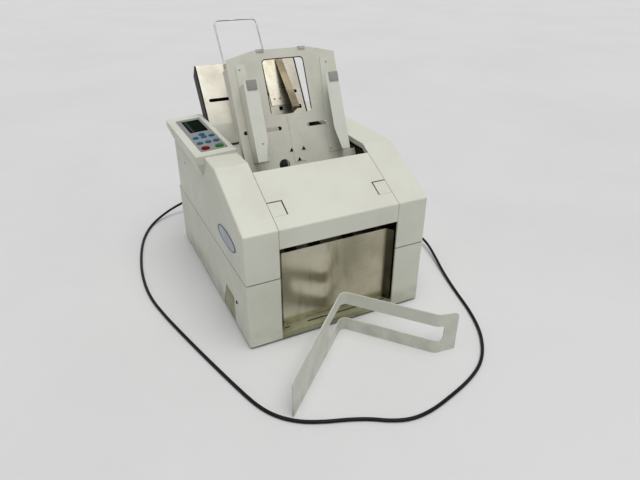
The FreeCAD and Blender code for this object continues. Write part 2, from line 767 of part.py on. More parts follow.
def console_hollow(fascia_x, fascia_z):
    """Room inside the console: the wide part over the tower and the narrow part in the overhang."""
    inner_x = -BAY_HALF_W - COVER_WALL
    wall_x = -HALF_W + COVER_WALL
    over_tower = prism_y([
        (wall_x, console_edge(wall_x, COVER_WALL)),
        (inner_x, console_edge(inner_x, COVER_WALL)),
        (inner_x, CONSOLE_SEAT_OUT_Z - COVER_WALL),
        (wall_x, CONSOLE_SEAT_OUT_Z - COVER_WALL),
    ], CONSOLE_FRONT_D + COVER_WALL, CONSOLE_REAR_D - COVER_WALL)
    left_x = fascia_x + COVER_WALL
    in_overhang = prism_y([
        (left_x, console_edge(left_x, COVER_WALL)),
        (wall_x, console_edge(wall_x, COVER_WALL)),
        (wall_x, CONSOLE_SKIRT_Z + COVER_WALL),
        (left_x, fascia_z + COVER_WALL),
    ], CONSOLE_FRONT_D + CONSOLE_BEAK_D + COVER_WALL, CONSOLE_REAR_D - COVER_WALL)
    return Part.makeCompound([over_tower, in_overhang])


def console_window(ledge, w0):
    """Block that cuts the display opening, smaller by a ledge all round."""
    return local_box(DISPLAY_X + ledge, DISPLAY_X + DISPLAY_W - ledge,
                     DISPLAY_Y + ledge, DISPLAY_Y + DISPLAY_L - ledge, w0 - COVER_WALL, COVER_WALL)


def board_top():
    key_floor = -COVER_WALL - KEY_GAP - KEY_FLANGE_T
    return key_floor - KEY_TRAVEL - KEY_GAP - SWITCH_H


def post_places():
    margin = BOARD_INSET + POST_R
    return [(u, v) for u in (OVERLAY_X + margin, OVERLAY_X + OVERLAY_W - margin) for v in POST_Y]


def console_overlay():
    sheet = rounded_box(OVERLAY_X, OVERLAY_X + OVERLAY_W, OVERLAY_Y, OVERLAY_Y + OVERLAY_L,
                        0.0, OVERLAY_T, BROW_ROUND)
    cuts = [console_window(-FIT, 0.0)]
    cuts += [peg(radius + KEY_GAP, u, v, -COVER_WALL, COVER_WALL) for u, v, radius in KEYS.values()]
    return moved(sheet.cut(Part.makeCompound(cuts)), CONSOLE_PLACE)


def display_window():
    pane = local_box(DISPLAY_X, DISPLAY_X + DISPLAY_W, DISPLAY_Y, DISPLAY_Y + DISPLAY_L, 0.0, OVERLAY_T)
    return moved(pane, CONSOLE_PLACE)


def control_board():
    top = board_top()
    inset = BOARD_INSET
    board = local_box(OVERLAY_X + inset, OVERLAY_X + OVERLAY_W - inset,
                      OVERLAY_Y + inset, OVERLAY_Y + OVERLAY_L - inset, top - BOARD_T, top)
    module = local_box(DISPLAY_X, DISPLAY_X + DISPLAY_W, DISPLAY_Y, DISPLAY_Y + DISPLAY_L,
                       top, top + DISPLAY_MODULE_T)
    switches = [local_box(u - POST_R, u + POST_R, v - POST_R, v + POST_R, top, top + SWITCH_H)
                for u, v, radius in KEYS.values()]
    return moved(fused([board, module] + switches), CONSOLE_PLACE)


def console_key(u, v, radius):
    foot = -COVER_WALL - KEY_GAP - KEY_FLANGE_T
    crown = OVERLAY_T + KEY_RISE
    cap = peg(radius, u, v, foot, crown)
    rim = [edge for edge in cap.Edges if abs(edge.CenterOfMass.z - crown) < FIT and edge.Closed]
    cap = cap.makeFillet(KEY_RISE / 2.0, rim)
    return moved(fused([cap, peg(radius + KEY_FLANGE, u, v, foot, foot + KEY_FLANGE_T)]), CONSOLE_PLACE)


def rear_panel():
    half = HALF_W - REAR_RETURN_W - FIT
    front = BASE_REAR_D - PANEL_SHEET
    sheet = box(-half, half, front, BASE_REAR_D, BASE_TOP_Z, LOWER_TOP_Z - COVER_WALL - FIT)
    inner = BAY_HALF_W - FIT
    shelf = box(-inner, inner, TOWER_D - PANEL_SHEET, BASE_REAR_D, LOWER_TOP_Z - PANEL_SHEET, LOWER_TOP_Z)
    riser = box(-inner, inner, front, BASE_REAR_D, BASE_TOP_Z, LOWER_TOP_Z)
    cuts = [inlet_block(0.0, COVER_WALL), switch_block(FIT, COVER_WALL)]
    for index in range(VENT_COUNT):
        x = VENT_X + index * VENT_PITCH
        cuts.append(box(x, x + VENT_W, front - COVER_WALL, BODY_D, VENT_Z, VENT_Z + VENT_H))
    return fused([sheet, riser, shelf]).cut(Part.makeCompound(cuts))


def rear_deck_front():
    """Depth at which the backs of the rear cheeks come up through the line of the roof."""
    depth, z = depth_and_height(REAR_PLACE, 0.0, -CHEEK_DEPTH)
    return depth + (ROOF_Z - z) * math.tan(math.radians(REAR_TILT)) + MOVE


def rear_upper_cover():
    """White cover between the towers at the back: an upright wall and a deck behind the rear hopper."""
    half = BAY_HALF_W - FIT
    front = rear_deck_front()
    wall = box(-half, half, TOWER_D - COVER_WALL, TOWER_D, UPPER_FOOT_Z, ROOF_Z)
    deck = box(-half, half, front, TOWER_D, ROOF_Z - COVER_WALL, ROOF_Z)
    apron = box(-half, half, front, front + COVER_WALL, ROOF_Z - RETURN_DEPTH, ROOF_Z)
    return fused([wall, deck, apron])


# Lid

def tab_block(side, grow, w0, w1):
    """Room of a press tab on the lid's slope, or the tab itself where nothing is added."""
    v0 = TAB_FRONT_D / math.cos(SLOPE)
    inner = LID_HALF_W - TAB_W - grow
    block = local_box(inner, LID_HALF_W + grow, v0 - min(grow, FIT), v0 + TAB_L + grow, w0, w1)
    return block if side > 0 else mirrored(block)


def top_lid():
    plate = prism_x([
        (0.0, LID_LIP_Z),
        (0.0, FRONT_TOP_Z),
        (LID_REAR_D, slope_z(LID_REAR_D)),
        (LID_REAR_D, slope_z(LID_REAR_D, LID_WALL)),
        (LID_WALL, slope_z(LID_WALL, LID_WALL)),
        (LID_WALL, LID_LIP_Z),
    ], -LID_HALF_W, LID_HALF_W)
    plate = plate.makeFillet(BROW_ROUND, [edge for edge in plate.Edges if is_brow(edge)])
    skirt = prism_x([
        (LID_WALL, LID_LIP_Z),
        (LID_WALL, slope_z(LID_WALL, LID_WALL)),
        (LID_REAR_D, slope_z(LID_REAR_D, LID_WALL)),
        (LID_REAR_D, slope_z(LID_REAR_D, LID_SKIRT_H)),
        (LID_SKIRT_H, slope_z(LID_SKIRT_H, LID_SKIRT_H)),
        (LID_SKIRT_H, LID_LIP_Z),
    ], LID_HALF_W - LID_WALL, LID_HALF_W)
    ear = rod_x(LID_HALF_W - LID_WALL, LID_HALF_W, LID_PIN_D, LID_PIN_Z, LID_EAR_R)
    neck = prism_x([
        (LID_PIN_D - LID_EAR_R, LID_PIN_Z),
        (LID_PIN_D - LID_EAR_R, slope_z(LID_PIN_D - LID_EAR_R, LID_WALL)),
        (LID_PIN_D + LID_EAR_R, slope_z(LID_PIN_D + LID_EAR_R, LID_WALL)),
        (LID_PIN_D + LID_EAR_R, LID_PIN_Z),
    ], LID_HALF_W - LID_WALL, LID_HALF_W)
    bore = rod_x(-HALF_W, HALF_W, LID_PIN_D, LID_PIN_Z, LID_PIN_R + RUN)
    tabs = [moved(tab_block(side, TAB_SLOT, -TAB_SINK, LID_WALL), LID_PLACE) for side in (-1, 1)]
    sides = [skirt, ear, neck]
    lid = fused([plate] + sides + [mirrored(piece) for piece in sides])
    return lid.cut(bore).cut(Part.makeCompound(tabs))


def lid_tab(side):
    return moved(tab_block(side, 0.0, -LID_WALL, 0.0), LID_PLACE)


def lid_hinge_pins():
    pin = rod_x(LID_HALF_W - LID_WALL - SHEET, FRAME_X, LID_PIN_D, LID_PIN_Z, LID_PIN_R)
    return Part.makeCompound([pin, mirrored(pin)])


# Delivery bay

def delivery_plate():
    rear = DELIVERY_D + DELIVERY_SHEET
    sheet = box(-DELIVERY_HALF_W, DELIVERY_HALF_W, DELIVERY_D, rear, BASE_TOP_Z, DELIVERY_TOP_Z)
    flange_front = DELIVERY_D - DELIVERY_FLANGE_D
    flange_x = DELIVERY_HALF_W + DELIVERY_FLANGE_X
    flange = extruded([
        place(DELIVERY_HALF_W, DELIVERY_D, BASE_TOP_Z),
        place(DELIVERY_HALF_W, rear, BASE_TOP_Z),
        place(flange_x + DELIVERY_SHEET, flange_front, BASE_TOP_Z),
        place(flange_x, flange_front, BASE_TOP_Z),
    ], V(0.0, 0.0, DELIVERY_TOP_Z - BASE_TOP_Z))
    top = box(-DELIVERY_HALF_W, DELIVERY_HALF_W, DELIVERY_D, DELIVERY_D + DELIVERY_TOP_FLANGE,
              DELIVERY_TOP_Z - DELIVERY_SHEET, DELIVERY_TOP_Z)
    return fused([sheet, flange, mirrored(flange), top])


# Shafts and drive

def shaft(depth, z):
    """Steel shaft through both side frames with a flanged belt pulley at its right end."""
    pulley_end = BELT_X + BELT_W + PULLEY_FLANGE_T
    core = rod_x(-FRAME_X - SHEET - SHAFT_END, pulley_end, depth, z, SHAFT_R)
    return fused([core] + pulley(depth, z))


def pulley(depth, z):
    end = BELT_X + BELT_W
    return [
        rod_x(BELT_X - PULLEY_FLANGE_T, end + PULLEY_FLANGE_T, depth, z, PULLEY_R),
        rod_x(BELT_X - PULLEY_FLANGE_T, BELT_X, depth, z, PULLEY_FLANGE_R),
        rod_x(end, end + PULLEY_FLANGE_T, depth, z, PULLEY_FLANGE_R),
    ]


def rollers(depth, z, places, radius, width):
    """Rubber sleeves pressed on a shaft, in pairs either side of the middle."""
    sleeves = []
    for x in places:
        sleeve = rod_x(x - width / 2.0, x + width / 2.0, depth, z, radius)
        sleeve = sleeve.cut(rod_x(x - width, x + width, depth, z, SHAFT_R))
        sleeves += [sleeve, mirrored(sleeve)]
    return Part.makeCompound(sleeves)


def drive_motor():
    can = rod_x(FRAME_X - MOTOR_L, FRAME_X, MOTOR_D, MOTOR_Z, MOTOR_R)
    boss = rod_x(FRAME_X - MOTOR_BOSS_R, FRAME_X + SHEET, MOTOR_D, MOTOR_Z, MOTOR_BOSS_R)
    bore = rod_x(FRAME_X - MOTOR_BOSS_R, BELT_X, MOTOR_D, MOTOR_Z, MOTOR_SHAFT_R + RUN)
    return fused([can, boss]).cut(bore)


def motor_pulley():
    stub = rod_x(FRAME_X - MOTOR_BOSS_R + MOVE, BELT_X, MOTOR_D, MOTOR_Z, MOTOR_SHAFT_R)
    return fused([stub] + pulley(MOTOR_D, MOTOR_Z))


def drive_belt():
    """Flat belt round the four pulleys, which stand at the corners of a convex loop."""
    corners = [(MOTOR_D, MOTOR_Z)] + list(reversed(SHAFT_PLACES))
    x = BELT_X + MOVE / 2.0
    points = [place(x, depth, z) for depth, z in corners]
    loop = Part.makePolygon(points + [points[0]])
    inner = Part.Face(loop.makeOffset2D(PULLEY_R + MOVE))
    outer = Part.Face(loop.makeOffset2D(PULLEY_R + MOVE + BELT_T))
    return outer.cut(inner).extrude(V(BELT_W - MOVE, 0.0, 0.0))


def power_supply():
    right = SUPPLY_X + SUPPLY_W
    rear = SUPPLY_D + SUPPLY_L
    top = BASE_TOP_Z + SUPPLY_H
    body = box(SUPPLY_X, right, SUPPLY_D, rear, BASE_TOP_Z, top)
    room = box(SUPPLY_X + SHEET, right - SHEET, SUPPLY_D + SHEET, rear - SHEET,
               BASE_TOP_Z + SHEET, top - SHEET)
    return body.cut(room)


# Front hopper

def feed_plate():
    outline = [
        (-FEED_HALF_W, -FEED_SKIRT),
        (FEED_HALF_W, -FEED_SKIRT),
        (FEED_HALF_W, FEED_SIDE_H),
        (FEED_TOP_HALF_W, FEED_TOP_H),
        (-FEED_TOP_HALF_W, FEED_TOP_H),
        (-FEED_HALF_W, FEED_SIDE_H),
    ]
    sheet = local_prism(outline, -FEED_SHEET, 0.0)
    through = (-2.0 * FEED_SHEET, FEED_SHEET)
    window_top = WINDOW_V + WINDOW_H
    window = rounded_box(-WINDOW_HALF_W, WINDOW_HALF_W, WINDOW_V, window_top, *through, WINDOW_ROUND)
    cuts = [window]
    slot = rounded_box(FEED_SLOT_IN, FEED_SLOT_OUT, FEED_SLOT_V - FEED_SLOT_H / 2.0,
                       FEED_SLOT_V + FEED_SLOT_H / 2.0, *through, FEED_SLOT_H / 2.0 - FIT)
    half = ROLLER_W / 2.0 + ROLLER_ROOM
    reach = roller_reach()
    mouth = rounded_box(ROLLER_X - half, ROLLER_X + half, FEED_ROLLER_V - reach, FEED_ROLLER_V + reach,
                        *through, MOUTH_ROUND)
    idler_mouth = peg(idler_mouth_r(), IDLER_X, IDLER_V, *through)
    cuts += [slot, mirrored(slot), mouth, mirrored(mouth), idler_mouth]
    cuts += feed_marks()
    lip = local_box(-WINDOW_HALF_W + WINDOW_ROUND, WINDOW_HALF_W - WINDOW_ROUND,
                    WINDOW_V - FEED_SHEET, WINDOW_V, -WINDOW_LIP, 0.0)
    flange = feed_flange()
    stud = peg(STUD_R, 0.0, FEED_SLOT_V, rack_back() - MOVE, -FEED_SHEET)
    head = peg(STUD_HEAD_R, 0.0, FEED_SLOT_V, rack_back() - MOVE - STUD_HEAD_T, rack_back() - MOVE)
    lug = feed_lug()
    plate = sheet.cut(Part.makeCompound(cuts))
    pieces = [plate, lip, flange, mirrored(flange), stud, head, lug, mirrored(lug)] + idler_ears()
    return moved(fused(pieces), FEED_PLACE)


def roller_reach():
    """Half the height of a roller's mouth in a hopper plate, with room for the roller to turn."""
    behind = ROLLER_BEHIND - max(FEED_SHEET, REAR_SHEET)
    return math.sqrt(ROLLER_R ** 2 - behind ** 2) + 2.0 * MOVE


def idler_axis():
    """Distance of the idler's axle behind the face of the feed plate."""
    return IDLER_R - IDLER_PROUD


def idler_mouth_r():
    """Radius of the round mouth that clears the corners of the idler's tyre."""
    half = math.sqrt(IDLER_R ** 2 - (idler_axis() - FEED_SHEET) ** 2)
    return math.hypot(IDLER_W / 2.0, half) + MOVE


def idler_ears():
    """Two ears behind the feed plate that carry the idler's axle, each on a root either side of the mouth."""
    ears = []
    near = IDLER_W / 2.0 + MOVE
    half = IDLER_EAR_H / 2.0
    root_half = idler_mouth_r() + IDLER_EAR
    back = -idler_axis() - half
    for u in (IDLER_X - near - IDLER_EAR, IDLER_X + near):
        ear = local_box(u, u + IDLER_EAR, IDLER_V - half, IDLER_V + half, back, -FEED_SHEET)
        root = local_box(u, u + IDLER_EAR, IDLER_V - root_half, IDLER_V + root_half,
                         -FEED_SHEET - IDLER_EAR_ROOT, -FEED_SHEET)
        bore = Part.makeCylinder(IDLER_PIN_R + RUN, IDLER_EAR, V(u, IDLER_V, -idler_axis()), X_AXIS)
        ears.append(fused([ear, root]).cut(bore))
    return ears


def idler_wheel():
    """Rubber wheel that shows through the round mouth in the feed plate, with its axle."""
    pin_half = IDLER_W / 2.0 + MOVE + IDLER_EAR + MOVE
    depth = -idler_axis()
    tyre = Part.makeCylinder(IDLER_R, IDLER_W, V(IDLER_X - IDLER_W / 2.0, IDLER_V, depth), X_AXIS)
    axle = Part.makeCylinder(IDLER_PIN_R, 2.0 * pin_half, V(IDLER_X - pin_half, IDLER_V, depth), X_AXIS)
    return moved(fused([tyre, axle]), FEED_PLACE)


def feed_flange():
    """Tapered flange folded back along the side of the feed plate."""
    points = [
        V(FEED_HALF_W - FEED_SHEET, FLANGE_V0, -FEED_SHEET),
        V(FEED_HALF_W - FEED_SHEET, FLANGE_V0, -FLANGE_FOOT),
        V(FEED_HALF_W - FEED_SHEET, FLANGE_V1, -FLANGE_HEAD),
        V(FEED_HALF_W - FEED_SHEET, FLANGE_V1, -FEED_SHEET),
    ]
    return extruded(points, V(FEED_SHEET, 0.0, 0.0))


def feed_lug():
    """Lug that carries the feed plate on the side frame."""
    return local_box(FEED_HALF_W - FEED_SHEET, FRAME_X, FEED_LUG_V, FEED_LUG_V + FEED_LUG_H,
                     -FEED_SHEET - FEED_LUG_T, -FEED_SHEET)


def rack_front():
    return -FEED_SHEET - MOVE


def rack_back():
    return rack_front() - RACK_T


def feed_marks():
    """Small triangular holes low on the feed plate."""
    marks = []
    for u, v in FEED_MARKS:
        corners = [(u - FEED_MARK / 2.0, v), (u + FEED_MARK / 2.0, v), (u, v + FEED_MARK)]
        marks.append(local_prism(corners, -2.0 * FEED_SHEET, 2.0 * STRIP_T))
    return marks


def pinion_cover():
    """Raised strip up the middle of the feed plate with its four screw heads."""
    strip = local_box(-STRIP_HALF_W, STRIP_HALF_W, STRIP_V, WINDOW_V - FEED_SHEET, 0.0, STRIP_T)
    strip = strip.cut(Part.makeCompound(feed_marks()))
    heads = []
    for u in (-STRIP_HALF_W + STRIP_SCREW_INSET, STRIP_HALF_W - STRIP_SCREW_INSET):
        for v in (FEED_SLOT_V - STRIP_SCREW_V, FEED_SLOT_V + STRIP_SCREW_V):
            heads.append(peg(STRIP_SCREW_R, u, v, 0.0, STRIP_T + STRIP_SCREW_T))
    return moved(fused([strip] + heads), FEED_PLACE)


def plate_clips():
    """Small clips hooked over the top edge of the feed plate."""
    clips = []
    for u in (-CLIP_X - CLIP_W / 2.0, CLIP_X - CLIP_W / 2.0):
        top = FEED_TOP_H + CLIP_T
        clip = local_box(u, u + CLIP_W, FEED_TOP_H - CLIP_H, top, -FEED_SHEET - CLIP_T, CLIP_T)
        sheet = local_box(u, u + CLIP_W, 0.0, FEED_TOP_H, -FEED_SHEET, 0.0)
        clips.append(moved(clip.cut(sheet), FEED_PLACE))
    return Part.makeCompound(clips)


def sheet_guide(side):
    """Channel-shaped side guide: base on the feed plate, wall and front lip, for the right side."""
    outer = GUIDE_WALL_X
    base = local_prism([
        (outer, GUIDE_V0),
        (outer, GUIDE_BASE_V),
        (outer - GUIDE_BASE_HEAD_W, GUIDE_BASE_V),
        (outer - GUIDE_BASE_FOOT_W, GUIDE_V0),
    ], MOVE, MOVE + GUIDE_SHEET)
    wall = local_box(outer - GUIDE_SHEET, outer, GUIDE_V0, GUIDE_WALL_V, MOVE, GUIDE_DEPTH)
    lip = local_prism([
        (outer, GUIDE_V0),
        (outer, GUIDE_LIP_V),
        (outer - GUIDE_LIP_W, GUIDE_LIP_V),
        (outer - GUIDE_LIP_W, GUIDE_LIP_KINK_V),
        (outer - GUIDE_LIP_FOOT_W, GUIDE_V0),
    ], GUIDE_DEPTH - GUIDE_SHEET, GUIDE_DEPTH)
    guide = fused([base, wall, lip])
    return moved(guide if side > 0 else mirrored(guide), FEED_PLACE)


def pitch_radius():
    return GEAR_MODULE * PINION_TEETH / 2.0


def guide_rack(side):
    """Toothed bar behind the feed plate with the foot that passes through the slot to its guide."""
    foot_u1 = GUIDE_WALL_X - GUIDE_SHEET
    foot_u0 = foot_u1 - GUIDE_FOOT_W
    foot_half = FEED_SLOT_H / 2.0 - MOVE
    rack_v = pitch_radius() + GEAR_MODULE * DEDENDUM
    foot = local_box(foot_u0, foot_u1, -foot_half, foot_half, rack_back(), MOVE)
    arm = local_box(foot_u0, foot_u1, -foot_half, rack_v + RACK_BACK, rack_back(), rack_front())
    bar = local_box(-RACK_PAST, foot_u1, rack_v, rack_v + RACK_BACK, rack_back(), rack_front())
    rack = fused([foot, arm, bar] + rack_teeth(foot_u0))
    if side > 0:
        rack = rack.mirror(V(0.0, 0.0, 0.0), Y_AXIS)
    else:
        rack = mirrored(rack)
    rack.translate(V(0.0, FEED_SLOT_V, 0.0))
    return moved(rack, FEED_PLACE)


def rack_teeth(last_u):
    pitch = math.pi * GEAR_MODULE
    lean = math.tan(PRESSURE_ANGLE)
    middle = pitch / 4.0 - BACKLASH / 2.0
    tip_v = pitch_radius() - GEAR_MODULE
    root_v = pitch_radius() + GEAR_MODULE * DEDENDUM + FIT
    tip = middle - GEAR_MODULE * lean
    root = middle + (root_v - pitch_radius()) * lean
    teeth = []
    count = int((last_u + RACK_PAST) / pitch) - 1
    first = -math.floor(RACK_PAST / pitch) + 0.5
    for index in range(count):
        u = (first + index) * pitch
        outline = [(u - tip, tip_v), (u + tip, tip_v), (u + root, root_v), (u - root, root_v)]
        teeth.append(local_prism(outline, rack_back(), rack_front()))
    return teeth


def guide_pinion():
    outline = []
    radius = pitch_radius()
    base = radius * math.cos(PRESSURE_ANGLE)
    half = math.pi / (2.0 * PINION_TEETH) - BACKLASH / (2.0 * radius) + involute(PRESSURE_ANGLE)
    rise_r = (radius + GEAR_MODULE - base) / FLANK_STEPS
    flank = [base + rise_r * step for step in range(FLANK_STEPS + 1)]
    root = radius - DEDENDUM * GEAR_MODULE
    for tooth in range(PINION_TEETH):
        middle = 2.0 * math.pi * tooth / PINION_TEETH
        rise = [(root, half)] + [(r, half - involute(math.acos(base / r))) for r in flank]
        outline += [polar(r, middle - angle) for r, angle in rise]
        outline += [polar(r, middle + angle) for r, angle in reversed(rise)]
    gear = local_prism(outline, rack_back(), rack_front())
    gear = gear.cut(peg(STUD_R + RUN, 0.0, 0.0, rack_back() - MOVE, rack_front() + MOVE))
    gear.translate(V(0.0, FEED_SLOT_V, 0.0))
    return moved(gear, FEED_PLACE)


def involute(angle):
    return math.tan(angle) - angle


def polar(radius, angle):
    return radius * math.cos(angle), radius * math.sin(angle)


def sheet_deck():
    """Bent sheet between the frames: stop, trough under the front rollers and deck to the rear rollers."""
    front = FEED_SHAFT_D - ROLLER_R - DECK_GAP
    rear = FEED_SHAFT_D + ROLLER_R + DECK_GAP
    floor = FEED_SHAFT_Z - ROLLER_R - DECK_GAP
    end = REAR_FOOT_D - DECK_GAP
    upper = [
        (front - STOP_LEAN, floor + STOP_RISE),
        (front, floor),
        (rear, floor),
        (rear + DECK_RAMP, DECK_Z),
        (end, DECK_Z),
    ]
    lower = [
        (end, DECK_Z - SHEET),
        (rear + DECK_RAMP + SHEET, DECK_Z - SHEET),
        (rear + SHEET, floor - SHEET),
        (front - SHEET, floor - SHEET),
        (front - STOP_LEAN - SHEET, floor + STOP_RISE),
    ]
    return prism_x(upper + lower, -FRAME_X, FRAME_X)


# Rear hopper

def rear_plate():
    sheet = local_box(-CHEEK_IN_X, CHEEK_IN_X, 0.0, REAR_H, -REAR_SHEET, 0.0)
    through = (-2.0 * REAR_SHEET, REAR_SHEET)
    slot = rounded_box(REAR_SLOT_IN, REAR_SLOT_OUT, REAR_SLOT_V - REAR_SLOT_H / 2.0,
                       REAR_SLOT_V + REAR_SLOT_H / 2.0, *through, REAR_SLOT_H / 2.0 - FIT)
    half = ROLLER_W / 2.0 + ROLLER_ROOM
    reach = roller_reach()
    mouth = local_box(REAR_ROLLER_X - half, REAR_ROLLER_X + half, min(0.0, REAR_ROLLER_V - reach) - FIT,
                      REAR_ROLLER_V + reach, *through)
    cuts = [slot, mirrored(slot), mouth, mirrored(mouth)]
    for inset, width in REAR_HOLE_INSETS:
        u = CHEEK_IN_X - inset
        cuts.append(local_box(u, u + width, REAR_HOLE_V, REAR_HOLE_V + REAR_HOLE_H, *through))
    sleeves = []
    for u in (-WIRE_X, WIRE_X):
        half_w = SLEEVE_W / 2.0
        behind = -WIRE_BEHIND - WIRE_R - SLEEVE_WALL
        block = local_box(u - half_w, u + half_w, SLEEVE_V, SLEEVE_V + SLEEVE_H, behind, -REAR_SHEET)
        bore = Part.makeCylinder(WIRE_R + RUN, SLEEVE_H, V(u, SLEEVE_V, -WIRE_BEHIND), Y_AXIS)
        sleeves.append(block.cut(bore))
    return moved(fused([sheet.cut(Part.makeCompound(cuts))] + sleeves), REAR_PLACE)


def rear_cheeks():
    """Black cheeks that hold the rear plate and stand on the side frames."""
    head_d, head_z = depth_and_height(REAR_PLACE, REAR_H, 0.0)
    back_d, back_z = depth_and_height(REAR_PLACE, REAR_H - CHEEK_SHOULDER, -CHEEK_DEPTH)
    foot_d, foot_z = depth_and_height(REAR_PLACE, 0.0, 0.0)
    waist_d, waist_z = depth_and_height(REAR_PLACE, CHEEK_DEPTH, -CHEEK_DEPTH)
    cheek = prism_x([
        (foot_d, foot_z),
        (head_d, head_z),
        (back_d, back_z),
        (waist_d, waist_z),
        (waist_d, CHEEK_FOOT_Z),
        (foot_d, CHEEK_FOOT_Z),
    ], CHEEK_IN_X, CHEEK_OUT_X)
    foot = box(CHEEK_IN_X, FRAME_X, foot_d, waist_d, CHEEK_FOOT_Z, REAR_FOOT_Z)
    cheek = fused([cheek, foot]).cut(rod_x(0.0, HALF_W, REAR_SHAFT_D, REAR_SHAFT_Z, SHAFT_R + MOVE))
    return Part.makeCompound([cheek, mirrored(cheek)])


def rear_guide(side):
    """Bent guide on the rear plate: base with a low rim, tapered wall, sloping front lip, foot and knob."""
    outer = REAR_GUIDE_X
    inner = REAR_GUIDE_X - REAR_GUIDE_W
    middle = (inner + outer) / 2.0
    sheet = GUIDE_SHEET
    base = local_box(inner, outer, REAR_GUIDE_V0, REAR_GUIDE_V1, MOVE, MOVE + sheet)
    rim = local_box(inner, inner + sheet, REAR_GUIDE_V0, REAR_GUIDE_V1, MOVE, REAR_GUIDE_RIM)
    wall = extruded([
        V(outer - sheet, REAR_WALL_V0, MOVE),
        V(outer - sheet, REAR_GUIDE_V1, MOVE),
        V(outer - sheet, REAR_GUIDE_V1, REAR_WALL_HEAD),
        V(outer - sheet, REAR_WALL_V0, REAR_WALL_FOOT),
    ], V(sheet, 0.0, 0.0))
    lip = extruded([
        V(outer - REAR_LIP_W, REAR_GUIDE_V1, REAR_WALL_HEAD - sheet),
        V(outer - REAR_LIP_W, REAR_GUIDE_V1, REAR_WALL_HEAD),
        V(outer - REAR_LIP_W, REAR_WALL_V0, REAR_WALL_FOOT),
        V(outer - REAR_LIP_W, REAR_WALL_V0, REAR_WALL_FOOT - sheet),
    ], V(REAR_LIP_W, 0.0, 0.0))
    half = REAR_GUIDE_FOOT_W / 2.0
    foot_half = REAR_SLOT_H / 2.0 - MOVE
    knob_front = -REAR_SHEET - MOVE
    foot = local_box(middle - half, middle + half, REAR_SLOT_V - foot_half, REAR_SLOT_V + foot_half,
                     knob_front - MOVE, MOVE)
    knob = peg(KNOB_R, middle, REAR_SLOT_V, knob_front - KNOB_T, knob_front)
    guide = fused([base, rim, wall, lip, foot, knob])
    if side < 0:
        guide = mirrored(guide)
        guide.translate(V(REAR_GUIDE_SHIFT, 0.0, 0.0))
    return moved(guide, REAR_PLACE)


def wire_support():
    """Wire bow standing in two sleeves behind the rear plate."""
    bend = WIRE_BEND_R
    corner = bend * (1.0 - math.sqrt(0.5))
    top = WIRE_TOP_V
    side = WIRE_X
    points = [V(-side, WIRE_FOOT_V, 0.0), V(-side, top - bend, 0.0), V(-side + bend, top, 0.0),
              V(side - bend, top, 0.0), V(side, top - bend, 0.0), V(side, WIRE_FOOT_V, 0.0)]
    path = Part.Wire([
        Part.LineSegment(points[0], points[1]).toShape(),
        Part.Arc(points[1], V(-side + corner, top - corner, 0.0), points[2]).toShape(),
        Part.LineSegment(points[2], points[3]).toShape(),
        Part.Arc(points[3], V(side - corner, top - corner, 0.0), points[4]).toShape(),
        Part.LineSegment(points[4], points[5]).toShape(),
    ])
    section = Part.Wire(Part.makeCircle(WIRE_R, points[0], Y_AXIS))
    wire = path.makePipeShell([section], True, False)
    wire.translate(V(0.0, 0.0, -WIRE_BEHIND))
    return moved(wire, REAR_PLACE)


# Mains inlet, switch, connector, cord and plug

def inlet_block(inset, reach):
    half_w = INLET_W / 2.0 - inset
    half_h = INLET_H / 2.0 - inset
    return box(INLET_X - half_w, INLET_X + half_w, BASE_REAR_D - INLET_DEPTH, BASE_REAR_D + reach,
               INLET_Z - half_h, INLET_Z + half_h)


def mains_inlet():
    """Power entry: appliance socket and switch housing on one flange."""
    margin = INLET_FLANGE
    left = INLET_X - INLET_W / 2.0 - margin
    right = SWITCH_X + SWITCH_W / 2.0 + BEZEL + margin
    half_h = max(INLET_H, ROCKER_H + 2.0 * BEZEL) / 2.0 + margin / 2.0
    flange = box(left, right, BASE_REAR_D, BASE_REAR_D + INLET_FLANGE_T, INLET_Z - half_h, INLET_Z + half_h)
    room = inlet_block(INLET_WALL, COVER_WALL)
    room.translate(V(0.0, INLET_WALL, 0.0))
    well = box(SWITCH_X - SWITCH_W / 2.0 - MOVE, SWITCH_X + SWITCH_W / 2.0 + MOVE,
               BASE_REAR_D - ROCKER_R, BASE_REAR_D + BEZEL,
               INLET_Z - ROCKER_H / 2.0 - MOVE, INLET_Z + ROCKER_H / 2.0 + MOVE)
    wall_out = SWITCH_W / 2.0 + BEZEL - FIT
    pin = rod_x(SWITCH_X - wall_out, SWITCH_X + wall_out, rocker_axis(), INLET_Z, ROCKER_PIN_R)
    body = fused([inlet_block(0.0, 0.0), switch_block(FIT, 0.0), flange])
    return fused([body.cut(room).cut(well), pin])


def cord_connector():
    """Moulded connector pushed into the inlet, with its ribless strain relief."""
    inset = INLET_WALL + FIT
    nose = inlet_block(inset, INLET_FLANGE_T + FIT)
    nose.translate(V(0.0, INLET_WALL + FIT, 0.0))
    half_w = INLET_W / 2.0 - INLET_WALL + CONNECTOR_GRIP_MARGIN
    half_h = INLET_H / 2.0 - INLET_WALL + CONNECTOR_GRIP_MARGIN
    grip_front = BASE_REAR_D + INLET_FLANGE_T + FIT
    grip_rear = CORD_ROUTE[0][1] - FRONT - CONNECTOR_RELIEF_L
    right = INLET_X + half_w
    grip = box(INLET_X - half_w, right, grip_front, grip_rear, INLET_Z - half_h, INLET_Z + half_h)
    grip = rounded_along(grip, CONNECTOR_GRIP_MARGIN, Y_AXIS)
    tip_r = CORD_R + RELIEF_WALL
    relief_foot = place(INLET_X, grip_rear, INLET_Z)
    relief = Part.makeCone(RELIEF_R, tip_r, CONNECTOR_RELIEF_L, relief_foot, Y_AXIS)
    return fused([nose, grip, relief])


